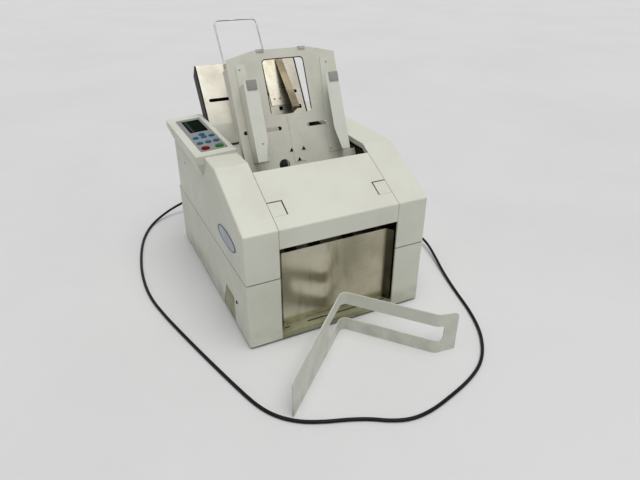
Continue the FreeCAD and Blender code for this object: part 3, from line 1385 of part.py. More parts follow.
def switch_block(inset, reach):
    half_w = SWITCH_W / 2.0 + BEZEL - inset
    half_h = ROCKER_H / 2.0 + BEZEL - inset
    return box(SWITCH_X - half_w, SWITCH_X + half_w, BASE_REAR_D - ROCKER_R - BEZEL, BASE_REAR_D + reach,
               INLET_Z - half_h, INLET_Z + half_h)


def rocker_axis():
    return BASE_REAR_D - ROCKER_R / 2.0


def power_switch():
    """Rocker: a wedge either side of its pin, at rest with its lower half pressed in."""
    axis_d = rocker_axis()
    proud = BASE_REAR_D + SHEET + ROCKER_PROUD
    half = ROCKER_H / 2.0 - ROCKER_MARGIN
    dip = 2.0 * half * math.tan(math.radians(ROCKER_TURN)) / 2.0
    rocker = prism_x([
        (axis_d - 2.0 * ROCKER_PIN_R, INLET_Z - ROCKER_R / 4.0),
        (axis_d - 2.0 * ROCKER_PIN_R, INLET_Z + ROCKER_R / 4.0),
        (BASE_REAR_D, INLET_Z + half),
        (proud, INLET_Z + half),
        (proud - dip / 2.0, INLET_Z),
        (proud - dip - dip / 2.0, INLET_Z - half),
        (BASE_REAR_D - dip, INLET_Z - half),
    ], SWITCH_X - SWITCH_W / 2.0, SWITCH_X + SWITCH_W / 2.0)
    return rocker.cut(rod_x(SWITCH_X - SWITCH_W, SWITCH_X + SWITCH_W, axis_d, INLET_Z, ROCKER_PIN_R + RUN))


def cord_path():
    """Straight runs joined by arcs as large as the runs allow; returns the edges, radii and start."""
    points = [V(*point) for point in CORD_ROUTE]
    edges = []
    radii = []
    last = points[0]
    for index in range(1, len(points) - 1):
        into = points[index] - points[index - 1]
        out = points[index + 1] - points[index]
        half_turn = into.getAngle(out) / 2.0
        reach = 0.45 * min(into.Length, out.Length)
        radius = reach / math.tan(half_turn)
        into.normalize()
        out.normalize()
        start = points[index] - into * reach
        end = points[index] + out * reach
        inward = out - into
        inward.normalize()
        middle = points[index] + inward * (radius / math.cos(half_turn) - radius)
        edges.append(Part.LineSegment(last, start).toShape())
        edges.append(Part.Arc(start, middle, end).toShape())
        radii.append(radius)
        last = end
    edges.append(Part.LineSegment(last, points[-1]).toShape())
    return edges, radii


def power_cord():
    edges, radii = cord_path()
    path = Part.Wire(edges)
    start = V(*CORD_ROUTE[0])
    section = Part.Wire(Part.makeCircle(CORD_R, start, V(*CORD_ROUTE[1]) - start))
    cord = path.makePipeShell([section], True, False)
    plain = math.pi * CORD_R ** 2 * path.Length
    print("cord length %.0f, least radius %.0f, volume ratio %.4f"
          % (path.Length, min(radii), cord.Volume / plain))
    print("cord radii", [round(radius) for radius in radii])
    return cord


def mains_plug():
    """Round two-pin plug lying at the end of the cord, its axis along the last run."""
    end = V(*CORD_ROUTE[-1])
    run = end - V(*CORD_ROUTE[-2])
    run.normalize()
    neck = Part.makeCone(CORD_R + RELIEF_WALL, PLUG_NECK_R, PLUG_NECK_L, end, run)
    body_start = end + run * PLUG_NECK_L
    body = Part.makeCylinder(PLUG_R, PLUG_L, body_start, run)
    body = body.makeFillet(CONNECTOR_GRIP_MARGIN, [edge for edge in body.Edges if edge.Closed])
    face = body_start + run * PLUG_L
    across = run.cross(Z_AXIS)
    across.normalize()
    half = across * (PIN_PITCH / 2.0)
    pins = [Part.makeCylinder(PIN_R, PIN_L, foot, run) for foot in (face - half, face + half)]
    return fused([neck, body] + pins)


# Stacker bracket

def bracket_path(first, last, z):
    """Plan of the bracket from one point to another, with its two bends as arcs."""
    points = [first] + [V(x, y, 0.0) for x, y in BRACKET_POINTS[1:3]] + [last]
    edges = []
    done = points[0]
    for index, radius in zip((1, 2), BRACKET_BEND_R):
        into = points[index] - points[index - 1]
        out = points[index + 1] - points[index]
        half_turn = into.getAngle(out) / 2.0
        reach = radius * math.tan(half_turn)
        into.normalize()
        out.normalize()
        start = points[index] - into * reach
        end = points[index] + out * reach
        inward = out - into
        inward.normalize()
        middle = points[index] + inward * (radius / math.cos(half_turn) - radius)
        edges += [Part.LineSegment(done, start).toShape(), Part.Arc(start, middle, end).toShape()]
        done = end
    edges.append(Part.LineSegment(done, points[-1]).toShape())
    path = Part.Wire(edges)
    path.translate(V(0.0, 0.0, z))
    return path


def strip_along(path, height, thickness):
    """Upright strip whose lower edge follows a path on a level plane."""
    start = path.OrderedVertexes[0].Point
    run = path.OrderedVertexes[1].Point - start
    across = run.cross(Z_AXIS)
    across.normalize()
    across *= thickness / 2.0
    rise = V(0.0, 0.0, height)
    corners = [start - across, start + across, start + across + rise, start - across + rise]
    section = Part.makePolygon(corners + [corners[0]])
    return path.makePipeShell([section], True, False)


def above_line(first, last, z0, z1):
    """Room above the straight top edge of one arm of the bracket."""
    along = last - first
    across = along.cross(Z_AXIS)
    across.normalize()
    across *= BRACKET_BEND_R[0]
    over = BRACKET_BEND_H + BRACKET_BEND_R[0]
    corners = [first + V(0, 0, z0), last + V(0, 0, z1), last + V(0, 0, over), first + V(0, 0, over)]
    return extruded([corner - across for corner in corners], across * 2.0)


def stacker_bracket():
    end, bend, fold, tip = [V(x, y, 0.0) for x, y in BRACKET_POINTS]
    strip = strip_along(bracket_path(end, tip, 0.0), BRACKET_BEND_H, BRACKET_T)
    past_end = end + (end - bend) * 0.1
    past_tip = tip + (tip - fold) * 0.5
    strip = strip.cut(above_line(past_end, bend, BRACKET_END_H, BRACKET_BEND_H))
    strip = strip.cut(above_line(past_tip, fold, BRACKET_TIP_H, BRACKET_BEND_H))
    slot_start = bend + unit(end - bend) * BRACKET_SLOT_BACK
    slot_end = fold + unit(tip - fold) * BRACKET_SLOT_PAST
    slot = strip_along(bracket_path(slot_start, slot_end, BRACKET_SLOT_Z), BRACKET_SLOT_H, 3.0 * BRACKET_T)
    corners = [edge for edge in slot.Edges if is_slot_corner(edge)]
    strip = strip.cut(slot.makeFillet(BRACKET_SLOT_ROUND, corners))
    ends = [edge for edge in strip.Edges if is_end_corner(edge, (end, tip))]
    return strip.makeFillet(BRACKET_TIP_ROUND, ends)


def unit(vector):
    return vector * (1.0 / vector.Length)


def is_slot_corner(edge):
    """True for a level straight edge across the thickness of the slot."""
    return isinstance(edge.Curve, Part.Line) and abs(edge.Length - 3.0 * BRACKET_T) < FIT


def is_end_corner(edge, ends):
    """True for the short top edge across the thickness at either end of the bracket."""
    middle = edge.CenterOfMass
    if edge.Length > 2.0 * BRACKET_T or middle.z < BRACKET_SLOT_Z + BRACKET_SLOT_H:
        return False
    return min(math.hypot(middle.x - point.x, middle.y - point.y) for point in ends) < BRACKET_T


def build():
    """Every node of the machine by name."""
    nodes = {
        "base_plate": base_plate(),
        "rubber_feet": rubber_feet(),
        "left_side_frame": side_frame(-1),
        "right_side_frame": side_frame(1),
        "tie_bars": tie_bars(),
        "left_lower_cover": lower_cover(-1),
        "right_lower_cover": lower_cover(1),
        "left_upper_cover": left_upper_cover(),
        "right_upper_cover": tower_shell(),
        "console_housing": console_housing(),
        "console_overlay": console_overlay(),
        "display_window": display_window(),
        "control_board": control_board(),
        "rear_panel": rear_panel(),
        "rear_upper_cover": rear_upper_cover(),
        "top_lid": top_lid(),
        "lid_tab_left": lid_tab(-1),
        "lid_tab_right": lid_tab(1),
        "lid_hinge_pins": lid_hinge_pins(),
        "delivery_plate": delivery_plate(),
        "delivery_shaft": shaft(DELIVERY_SHAFT_D, DELIVERY_SHAFT_Z),
        "delivery_rollers": rollers(DELIVERY_SHAFT_D, DELIVERY_SHAFT_Z, DELIVERY_ROLLER_X,
                                    DELIVERY_ROLLER_R, DELIVERY_ROLLER_W),
        "front_feed_shaft": shaft(FEED_SHAFT_D, FEED_SHAFT_Z),
        "front_feed_rollers": rollers(FEED_SHAFT_D, FEED_SHAFT_Z, (ROLLER_X,), ROLLER_R, ROLLER_W),
        "rear_feed_shaft": shaft(REAR_SHAFT_D, REAR_SHAFT_Z),
        "rear_feed_rollers": rollers(REAR_SHAFT_D, REAR_SHAFT_Z, (REAR_ROLLER_X,), ROLLER_R, ROLLER_W),
        "drive_motor": drive_motor(),
        "motor_pulley": motor_pulley(),
        "drive_belt": drive_belt(),
        "power_supply": power_supply(),
        "feed_plate": feed_plate(),
        "pinion_cover": pinion_cover(),
        "plate_clips": plate_clips(),
        "left_sheet_guide": sheet_guide(-1),
        "right_sheet_guide": sheet_guide(1),
        "left_guide_rack": guide_rack(-1),
        "right_guide_rack": guide_rack(1),
        "guide_pinion": guide_pinion(),
        "idler_wheel": idler_wheel(),
        "sheet_deck": sheet_deck(),
        "rear_plate": rear_plate(),
        "rear_cheeks": rear_cheeks(),
        "left_rear_guide": rear_guide(-1),
        "right_rear_guide": rear_guide(1),
        "wire_support": wire_support(),
        "mains_inlet": mains_inlet(),
        "power_switch": power_switch(),
        "cord_connector": cord_connector(),
        "power_cord": power_cord(),
        "mains_plug": mains_plug(),
        "stacker_bracket": stacker_bracket(),
    }
    for name, (u, v, radius) in KEYS.items():
        nodes[name] = console_key(u, v, radius)
    return nodes


def main():
    os.makedirs("parts", exist_ok=True)
    for name, shape in build().items():
        if not shape.isValid():
            print("not valid:", name)
        shape.exportStep(os.path.join("parts", name + ".step"))


main()
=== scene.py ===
import json
import math
import bpy
from mathutils import Euler, Matrix, Vector

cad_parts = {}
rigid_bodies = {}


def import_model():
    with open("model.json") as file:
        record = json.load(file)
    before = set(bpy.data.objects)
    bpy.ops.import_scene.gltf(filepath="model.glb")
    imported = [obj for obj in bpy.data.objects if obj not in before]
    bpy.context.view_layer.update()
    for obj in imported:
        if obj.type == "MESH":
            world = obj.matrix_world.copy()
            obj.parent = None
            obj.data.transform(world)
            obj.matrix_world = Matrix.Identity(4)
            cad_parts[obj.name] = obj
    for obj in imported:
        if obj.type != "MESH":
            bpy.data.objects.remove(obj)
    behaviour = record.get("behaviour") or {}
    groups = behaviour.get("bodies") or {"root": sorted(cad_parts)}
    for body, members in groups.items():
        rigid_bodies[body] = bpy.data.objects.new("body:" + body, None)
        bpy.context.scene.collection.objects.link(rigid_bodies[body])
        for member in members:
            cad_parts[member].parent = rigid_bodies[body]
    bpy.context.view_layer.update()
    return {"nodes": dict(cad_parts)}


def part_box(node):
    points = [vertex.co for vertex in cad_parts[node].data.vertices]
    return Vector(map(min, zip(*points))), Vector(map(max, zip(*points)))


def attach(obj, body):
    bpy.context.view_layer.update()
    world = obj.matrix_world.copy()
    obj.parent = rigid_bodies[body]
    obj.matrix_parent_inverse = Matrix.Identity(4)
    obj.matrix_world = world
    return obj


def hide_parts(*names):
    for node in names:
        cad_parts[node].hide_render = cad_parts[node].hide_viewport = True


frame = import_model()
nodes = frame["nodes"]
scene = bpy.context.scene
scene.view_settings.view_transform = "Standard"

# Places on the machine, in metres. On the feed and rear plates u runs across, v up and w outwards
FEED_FRAME = Matrix.Translation((0.0, -0.0897, 0.300)) @ Matrix.Rotation(math.radians(66.0), 4, "X")
REAR_FRAME = Matrix.Translation((0.0, 0.1555, 0.315)) @ Matrix.Rotation(math.radians(56.5), 4, "X")
CONSOLE_PLACE = (-0.228, -0.049)
LEFT_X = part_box("left_upper_cover")[0].x
RIGHT_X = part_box("right_upper_cover")[1].x
FRONT_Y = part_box("right_lower_cover")[0].y
REAR_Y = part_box("rear_upper_cover")[1].y
PANEL_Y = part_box("rear_panel")[1].y
SEAM_Z = (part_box("left_upper_cover")[0].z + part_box("right_upper_cover")[0].z) / 2
FEED_NORMAL = FEED_FRAME.to_3x3().col[2].copy()
REAR_NORMAL = REAR_FRAME.to_3x3().col[2].copy()
FEED_BACK = -0.0015
WINDOW_HALF = 0.0497
WINDOW_V = (0.1296, 0.2512)
GUIDE_FRONT = 0.036
GUIDE_BASE = 0.0017


def facing(direction, x, y, z):
    """Frame whose Z axis points out of the machine's left, right or rear."""
    turn = {"left": -math.pi / 2, "right": math.pi / 2, "rear": math.pi}[direction]
    return Matrix.Translation((x, y, z)) @ Euler((math.pi / 2, 0.0, turn)).to_matrix().to_4x4()


# Camera at the photograph's view
CAMERA_PLACE = (-0.4628, -1.1189, 0.7582)
CAMERA_LOOK_DOWN = math.radians(29.53)
CAMERA_TURN = math.radians(26.24)
CAMERA_ROLL = math.radians(0.2)
CAMERA_LENS = 29.94
CAMERA_SENSOR = 36.0


def set_camera():
    data = bpy.data.cameras.new("photo_camera")
    data.sensor_width = CAMERA_SENSOR
    data.lens = CAMERA_LENS
    camera = bpy.data.objects.new("photo_camera", data)
    scene.collection.objects.link(camera)
    aim = Euler((math.pi / 2 - CAMERA_LOOK_DOWN, 0.0, -CAMERA_TURN)).to_matrix()
    roll = Matrix.Rotation(CAMERA_ROLL, 3, "Z")
    camera.matrix_world = Matrix.Translation(CAMERA_PLACE) @ (aim @ roll).to_4x4()
    scene.camera = camera


# Mains cord along its route on the table
CORD_DIAMETER = 0.007
CORD_ROUTE = (
    (-0.111, 0.333, 0.060),
    (-0.111, 0.361, 0.060),
    (-0.118, 0.392, 0.056),
    (-0.136, 0.416, 0.048),
    (-0.160, 0.429, 0.040),
    (-0.189, 0.431, 0.031),
    (-0.222, 0.425, 0.021),
    (-0.256, 0.410, 0.011),
    (-0.286, 0.384, 0.005),
    (-0.311, 0.343, 0.0036),
    (-0.334, 0.285, 0.0036),
    (-0.354, 0.200, 0.0036),
    (-0.367, 0.103, 0.0036),
    (-0.367, 0.005, 0.0036),
    (-0.350, -0.085, 0.0036),
    (-0.326, -0.180, 0.0036),
    (-0.300, -0.277, 0.0036),
    (-0.273, -0.372, 0.0036),
    (-0.254, -0.433, 0.0036),
    (-0.232, -0.472, 0.0036),
    (-0.199, -0.502, 0.0036),
    (-0.160, -0.521, 0.0036),
    (-0.119, -0.535, 0.0036),
    (-0.082, -0.551, 0.0036),
    (-0.048, -0.573, 0.0036),
    (-0.012, -0.586, 0.0036),
    (0.032, -0.585, 0.0036),
    (0.088, -0.571, 0.0036),
    (0.146, -0.553, 0.0036),
    (0.195, -0.528, 0.0036),
    (0.233, -0.492, 0.0036),
    (0.267, -0.442, 0.0036),
    (0.294, -0.374, 0.0036),
    (0.315, -0.294, 0.0036),
    (0.338, -0.218, 0.0055),
    (0.362, -0.150, 0.010),
    (0.377, -0.100, 0.015),
    (0.383, -0.062, 0.017),
    (0.379, -0.029, 0.0175),
    (0.367, -0.002, 0.0175),
)
CORD_ROUNDNESS = 5
CORD_STEPS = 8


def lay_cord(finish):
    curve = bpy.data.curves.new("mains_lead", "CURVE")
    curve.dimensions = "3D"
    curve.bevel_depth = CORD_DIAMETER / 2
    curve.bevel_resolution = CORD_ROUNDNESS
    curve.use_fill_caps = True
    spline = curve.splines.new("NURBS")
    spline.points.add(len(CORD_ROUTE) - 1)
    for point, place in zip(spline.points, CORD_ROUTE):
        point.co = (*place, 1.0)
    spline.order_u = 3
    spline.use_endpoint_u = True
    spline.resolution_u = CORD_STEPS
    lead = bpy.data.objects.new("mains_lead", curve)
    scene.collection.objects.link(lead)
    curve.materials.append(finish)
    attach(lead, "chassis")
    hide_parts("power_cord")


# Nodes that the finishes are built from

def set_socket(tree, socket, value):
    """Give a socket a number, or link it to another socket."""
    if isinstance(value, (int, float)):
        socket.default_value = value
    else:
        tree.links.new(value, socket)


def noise(tree, vector, scale, detail, roughness=0.5):
    """Noise texture whose scale is a socket or a number; returns its value."""
    texture = tree.nodes.new("ShaderNodeTexNoise")
    texture.inputs["Detail"].default_value = detail
    texture.inputs["Roughness"].default_value = roughness
    tree.links.new(vector, texture.inputs["Vector"])
    set_socket(tree, texture.inputs["Scale"], scale)
    return texture.outputs["Fac"]


def ramp(tree, value, low, high):
    """Value stretched so that low becomes 0 and high becomes 1; both are sockets or numbers."""
    node = tree.nodes.new("ShaderNodeMapRange")
    node.interpolation_type = "SMOOTHSTEP"
    tree.links.new(value, node.inputs["Value"])
    set_socket(tree, node.inputs["From Min"], low)
    set_socket(tree, node.inputs["From Max"], high)
    return node.outputs["Result"]


def math_node(tree, operation, first, second=0.0):
    node = tree.nodes.new("ShaderNodeMath")
    node.operation = operation
    set_socket(tree, node.inputs[0], first)
    set_socket(tree, node.inputs[1], second)
    return node.outputs["Value"]


def distance_from(tree, value, level):
    """How far a value lies from a level, on either side of it."""
    return math_node(tree, "ABSOLUTE", math_node(tree, "SUBTRACT", value, level))


def inverted(tree, mask):
    return math_node(tree, "SUBTRACT", 1.0, mask)


def scaled(tree, value, low, high):
    """Value from 0 to 1 brought into the range low to high."""
    return math_node(tree, "ADD", math_node(tree, "MULTIPLY", value, high - low), low)


def vector_math(tree, operation, vector, operand, output="Value"):
    node = tree.nodes.new("ShaderNodeVectorMath")
    node.operation = operation
    node.inputs[1].default_value = operand
    tree.links.new(vector, node.inputs[0])
    return node.outputs[output]


def axes(tree, vector):
    """The X, Y and Z of a place."""
    split = tree.nodes.new("ShaderNodeSeparateXYZ")
    tree.links.new(vector, split.inputs["Vector"])
    return split.outputs


def colour(red, green, blue):
    """Linear colour from the 0 to 255 values that a picture would show."""
    linear = []
    for value in (red, green, blue):
        share = value / 255.0
        linear.append(share / 12.92 if share <= 0.04045 else ((share + 0.055) / 1.055) ** 2.4)
    return (*linear, 1.0)


def mixed(tree, share, first, second):
    """Colour mixed from first to second by a mask; each is a 0 to 255 tone or a socket."""
    node = tree.nodes.new("ShaderNodeMix")
    node.data_type = "RGBA"
    tree.links.new(share, node.inputs["Factor"])
    ends = [socket for socket in node.inputs if socket.type == "RGBA"]
    for socket, value in zip(ends, (first, second)):
        if isinstance(value, tuple):
            socket.default_value = colour(*value)
        else:
            tree.links.new(value, socket)
    return [socket for socket in node.outputs if socket.type == "RGBA"][0]


def bumped(tree, shader, height, distance, strength=1.0):
    bump = tree.nodes.new("ShaderNodeBump")
    bump.inputs["Strength"].default_value = strength
    bump.inputs["Distance"].default_value = distance
    tree.links.new(height, bump.inputs["Height"])
    tree.links.new(bump.outputs["Normal"], shader.inputs["Normal"])


# Shader groups that several finishes share

def new_group(name, inputs, outputs):
    """Group with a Vector input, the named inputs with their first values, and the named outputs."""
    group = bpy.data.node_groups.new(name, "ShaderNodeTree")
    group.interface.new_socket("Vector", in_out="INPUT", socket_type="NodeSocketVector")
    for label, value in inputs.items():
        socket = group.interface.new_socket(label, in_out="INPUT", socket_type="NodeSocketFloat")
        socket.default_value = value
    for label in outputs:
        group.interface.new_socket(label, in_out="OUTPUT", socket_type="NodeSocketFloat")
    return group, group.nodes.new("NodeGroupInput").outputs, group.nodes.new("NodeGroupOutput").inputs


SPECK_SCALE = 160.0
SPECK_SOFT = 0.05


def build_moulded_grain():
    """Fine moulded or painted grain, with broad uneven patches and small specks of dirt."""
    group, given, result = new_group("moulded_grain", {"Grain": 900.0, "Patch": 9.0, "Speck": 0.72},
                                     ("Height", "Patches", "Specks"))
    vector = given["Vector"]
    group.links.new(noise(group, vector, given["Grain"], detail=2.0), result["Height"])
    clouds = noise(group, vector, given["Patch"], detail=6.0, roughness=0.62)
    group.links.new(ramp(group, clouds, low=0.36, high=0.68), result["Patches"])
    dots = noise(group, vector, SPECK_SCALE, detail=3.0, roughness=0.7)
    edge = math_node(group, "ADD", given["Speck"], SPECK_SOFT)
    group.links.new(ramp(group, dots, given["Speck"], edge), result["Specks"])
    return group


LINE_STRETCH = (0.012, 1.0, 1.0)
DRIP_STRETCH = (1.0, 1.0, 0.22)
DRIP_SCALE = 26.0


def build_drawn_lines():
    """Long fine lines along X, as on ground or brushed sheet, with clouds of tarnish and drips."""
    group, given, result = new_group("drawn_lines", {"Lines": 700.0, "Cloud": 7.0},
                                     ("Lines", "Clouds", "Drips"))
    vector = given["Vector"]
    along = vector_math(group, "MULTIPLY", vector, LINE_STRETCH, "Vector")
    group.links.new(noise(group, along, given["Lines"], detail=2.0), result["Lines"])
    clouds = noise(group, vector, given["Cloud"], detail=5.0, roughness=0.58)
    group.links.new(ramp(group, clouds, low=0.34, high=0.66), result["Clouds"])
    down = vector_math(group, "MULTIPLY", vector, DRIP_STRETCH, "Vector")
    drips = noise(group, down, DRIP_SCALE, detail=4.0, roughness=0.6)
    group.links.new(ramp(group, drips, low=0.52, high=0.74), result["Drips"])
    return group


def build_level_band():
    """Mask that is 1 below a height and fades out above it."""
    group, given, result = new_group("level_band", {"Full": 0.02, "Gone": 0.06}, ("Mask",))
    rise = ramp(group, axes(group, given["Vector"])["Z"], given["Full"], given["Gone"])
    group.links.new(inverted(group, rise), result["Mask"])
    return group


MOULDED_GRAIN = build_moulded_grain()
DRAWN_LINES = build_drawn_lines()
LEVEL_BAND = build_level_band()


# Finishes

def new_finish(name):
    material = bpy.data.materials.new(name)
    material.use_nodes = True
    tree = material.node_tree
    shader = tree.nodes["Principled BSDF"]
    place = tree.nodes.new("ShaderNodeTexCoord").outputs["Object"]
    return material, tree, shader, place


def opened(material):
    """Tree, shader, place and base colour of a finish that gets one more layer."""
    tree = material.node_tree
    shader = tree.nodes["Principled BSDF"]
    place = tree.nodes["Texture Coordinate"].outputs["Object"]
    return tree, shader, place, shader.inputs["Base Color"].links[0].from_socket


def placed(tree, group, vector, **values):
    """Outputs of a shader group placed in a finish with its own values."""
    node = tree.nodes.new("ShaderNodeGroup")
    node.node_tree = group
    tree.links.new(vector, node.inputs["Vector"])
    for label, value in values.items():
        node.inputs[label].default_value = value
    return node.outputs


SEAM_SHADE_SPAN = (0.0007, 0.0016)
SPECK_SHARE = 0.45
WORN_ROUGHER = 0.12


def moulded(name, clean, worn, dirt, rough, grain=900.0, depth=0.00004, patch=9.0, speck=0.72,
            floor_dirt=0.35, seam=None, gloss=0.5):
    """Moulded plastic or sprayed paint: wear, specks, dirt near the table, and painted shade along a
    level seam.
    """
    material, tree, shader, place = new_finish(name)
    grained = placed(tree, MOULDED_GRAIN, place, Grain=grain, Patch=patch, Speck=speck)
    low = placed(tree, LEVEL_BAND, place)
    base = mixed(tree, grained["Patches"], clean, worn)
    scuffs = math_node(tree, "MULTIPLY", low["Mask"], grained["Patches"])
    base = mixed(tree, math_node(tree, "MULTIPLY", scuffs, floor_dirt), base, dirt)
    base = mixed(tree, math_node(tree, "MULTIPLY", grained["Specks"], SPECK_SHARE), base, dirt)
    if seam is not None:
        # Painted shade: the dirt tone laid along the level seam stands for the shadow in the gap
        # between the covers.
        away = distance_from(tree, axes(tree, place)["Z"], seam)
        base = mixed(tree, inverted(tree, ramp(tree, away, *SEAM_SHADE_SPAN)), base, dirt)
    tree.links.new(base, shader.inputs["Base Color"])
    dull = scaled(tree, grained["Patches"], rough, rough + WORN_ROUGHER)
    tree.links.new(dull, shader.inputs["Roughness"])
    shader.inputs["Specular IOR Level"].default_value = gloss
    bumped(tree, shader, grained["Height"], depth)
    return material


FEED_TONES = {"clean": (205, 204, 191), "worn": (196, 194, 181), "dirt": (128, 122, 106)}
FEED_SHADE_TONE = (40, 38, 34)
FEED_SKIN = (0.0002, 0.0005)
FEED_BACK_SKIN = (0.0001, 0.0004)
FEED_MIDDLE = (WINDOW_HALF + 0.003, WINDOW_HALF + 0.002)
IDLER_PLACE = (-0.0395, 0.0197)
IDLER_MOUTH_R = 0.0126
IDLER_MOUTH_SOFT = 0.0002


def feed_paint():
    """Paint of the feed plate, with painted shade on the edges, the ears and the idler's mouth behind
    its middle, and a painted back.
    """
    material = moulded("feed_paint", **FEED_TONES, rough=0.36, patch=14.0, speck=0.69)
    tree, shader, place, painted = opened(material)
    rise = vector_math(tree, "DOT_PRODUCT", place, FEED_NORMAL)
    front = FEED_FRAME.translation.dot(FEED_NORMAL)
    # Painted shade: the sheet's cut edges, the parts behind it within the window's width, and the
    # idler's mouth get a dark tone.
    behind = ramp(tree, rise, front - FEED_SKIN[0], front - FEED_SKIN[1])
    off_back = ramp(tree, distance_from(tree, rise, front + FEED_BACK), *FEED_BACK_SKIN)
    idler = FEED_FRAME @ Vector((*IDLER_PLACE, FEED_BACK))
    from_idler = vector_math(tree, "DISTANCE", place, idler)
    in_mouth = ramp(tree, from_idler, IDLER_MOUTH_R + IDLER_MOUTH_SOFT, IDLER_MOUTH_R)
    away = math_node(tree, "ABSOLUTE", axes(tree, place)["X"])
    painted_shade = math_node(tree, "MULTIPLY", behind, ramp(tree, away, *FEED_MIDDLE))
    painted_shade = math_node(tree, "MULTIPLY", painted_shade, math_node(tree, "MAXIMUM", off_back, in_mouth))
    tree.links.new(mixed(tree, painted_shade, painted, FEED_SHADE_TONE), shader.inputs["Base Color"])
    return material


LINE_DEPTH = 0.000008


def sheet_steel(name, bright, dull, stain, rough, cloud=7.0, stained=0.6, spread=0.25, ridge=0.4):
    """Bare sheet with drawn lines, tarnish clouds and runs of stain."""
    material, tree, shader, place = new_finish(name)
    drawn = placed(tree, DRAWN_LINES, place, Cloud=cloud)
    base = mixed(tree, drawn["Clouds"], bright, dull)
    runs = math_node(tree, "MULTIPLY", drawn["Drips"], stained)
    tree.links.new(mixed(tree, runs, base, stain), shader.inputs["Base Color"])
    shader.inputs["Metallic"].default_value = 1.0
    haze = math_node(tree, "MULTIPLY", drawn["Lines"], drawn["Clouds"])
    tree.links.new(scaled(tree, haze, rough, rough + spread), shader.inputs["Roughness"])
    bumped(tree, shader, drawn["Lines"], LINE_DEPTH, ridge)
    return material


DELIVERY_TONES = {"bright": (202, 197, 178), "dull": (178, 172, 150), "stain": (140, 130, 104)}
DELIVERY_SHADE_TONE = (78, 74, 60)
DELIVERY_FLANK = 0.125
DELIVERY_FADE = 0.002


def delivery_sheet():
    """Stained delivery sheet whose bent side flanges are darkened with painted shade."""
    material = sheet_steel("delivery_steel", **DELIVERY_TONES, rough=0.19, cloud=5.0, stained=0.6,
                           spread=0.14, ridge=0.12)
    tree, shader, place, clean = opened(material)
    away = math_node(tree, "ABSOLUTE", axes(tree, place)["X"])
    # Painted shade on the bent side flanges, beyond DELIVERY_FLANK from the middle.
    flank_shade = ramp(tree, away, DELIVERY_FLANK - DELIVERY_FADE, DELIVERY_FLANK + DELIVERY_FADE)
    tree.links.new(mixed(tree, flank_shade, clean, DELIVERY_SHADE_TONE), shader.inputs["Base Color"])
    return material


PLATED_CLOUD = 16.0
PLATED_METAL = 0.35
PLATED_SPREAD = 0.18
PLATED_DEPTH = 0.00002
PLATED_RIDGE = 0.4


def chromated(name, pale, deep, rough, gloss=0.5):
    """Plated sheet with the cloudy yellow to olive bloom of passivated zinc."""
    material, tree, shader, place = new_finish(name)
    drawn = placed(tree, DRAWN_LINES, place, Cloud=PLATED_CLOUD)
    tree.links.new(mixed(tree, drawn["Clouds"], pale, deep), shader.inputs["Base Color"])
    shader.inputs["Metallic"].default_value = PLATED_METAL
    shader.inputs["Specular IOR Level"].default_value = gloss
    dull = scaled(tree, drawn["Clouds"], rough, rough + PLATED_SPREAD)
    tree.links.new(dull, shader.inputs["Roughness"])
    bumped(tree, shader, drawn["Lines"], PLATED_DEPTH, PLATED_RIDGE)
    return material


REAR_GUIDE_WORN = ((214, 210, 194), (178, 170, 146))
REAR_GUIDE_BLOOM = ((124, 112, 86), (92, 82, 60))
REAR_GUIDE_RISE = (0.003, 0.0055)
REAR_GUIDE_ROUGH = (0.26, 0.42)
REAR_GUIDE_DEPTH = 0.00001
BLOOM_COVER = 0.6


def bent_guide():
    """Rear guides: bright worn base against the rear plate, tan bloom on the raised wall and lip."""
    material, tree, shader, place = new_finish("rear_guide_sheet")
    drawn = placed(tree, DRAWN_LINES, place, Cloud=PLATED_CLOUD)
    worn = mixed(tree, drawn["Clouds"], *REAR_GUIDE_WORN)
    bloom = mixed(tree, drawn["Clouds"], *REAR_GUIDE_BLOOM)
    rise = vector_math(tree, "DOT_PRODUCT", place, REAR_NORMAL)
    plate = REAR_FRAME.translation.dot(REAR_NORMAL)
    raised = ramp(tree, rise, plate + REAR_GUIDE_RISE[0], plate + REAR_GUIDE_RISE[1])
    tree.links.new(mixed(tree, raised, worn, bloom), shader.inputs["Base Color"])
    covered = math_node(tree, "MULTIPLY", raised, BLOOM_COVER)
    tree.links.new(inverted(tree, covered), shader.inputs["Metallic"])
    tree.links.new(scaled(tree, drawn["Clouds"], *REAR_GUIDE_ROUGH), shader.inputs["Roughness"])
    bumped(tree, shader, drawn["Lines"], REAR_GUIDE_DEPTH, PLATED_RIDGE)
    return material


BADGE_L = 0.118
BADGE_H = 0.036
BADGE_Y = FRONT_Y + 0.110
BADGE_Z = 0.217
BADGE_TONES = {"clean": (178, 184, 192), "worn": (166, 173, 184), "dirt": (104, 112, 130)}
BADGE_LINE = (0.78, 0.86)
BADGE_LINE_TONE = (74, 84, 110)


def badge_face():
    """Pale face of the oval badge with a darker line inside its rim."""
    material = moulded("badge_face", **BADGE_TONES, rough=0.34)
    tree, shader, place, face = opened(material)
    across = axes(tree, place)
    reach = []
    for axis, middle, length in (("Y", BADGE_Y, BADGE_L), ("Z", BADGE_Z, BADGE_H)):
        square = math_node(tree, "POWER", distance_from(tree, across[axis], middle), 2.0)
        reach.append(math_node(tree, "MULTIPLY", square, 4.0 / length ** 2))
    rim = ramp(tree, math_node(tree, "ADD", *reach), *BADGE_LINE)
    tree.links.new(mixed(tree, rim, face, BADGE_LINE_TONE), shader.inputs["Base Color"])
    return material


RUBBER_ROUGH = (0.6, 0.75)
RUBBER_GLOSS = 0.15
RUBBER_DEPTH = 0.00005


def dusty_rubber(name, tone, dusty):
    material, tree, shader, place = new_finish(name)
    grained = placed(tree, MOULDED_GRAIN, place, Grain=600.0, Patch=30.0, Speck=0.7)
    tree.links.new(mixed(tree, grained["Patches"], tone, dusty), shader.inputs["Base Color"])
    tree.links.new(scaled(tree, grained["Patches"], *RUBBER_ROUGH), shader.inputs["Roughness"])
    shader.inputs["Specular IOR Level"].default_value = RUBBER_GLOSS
    bumped(tree, shader, grained["Height"], RUBBER_DEPTH)
    return material


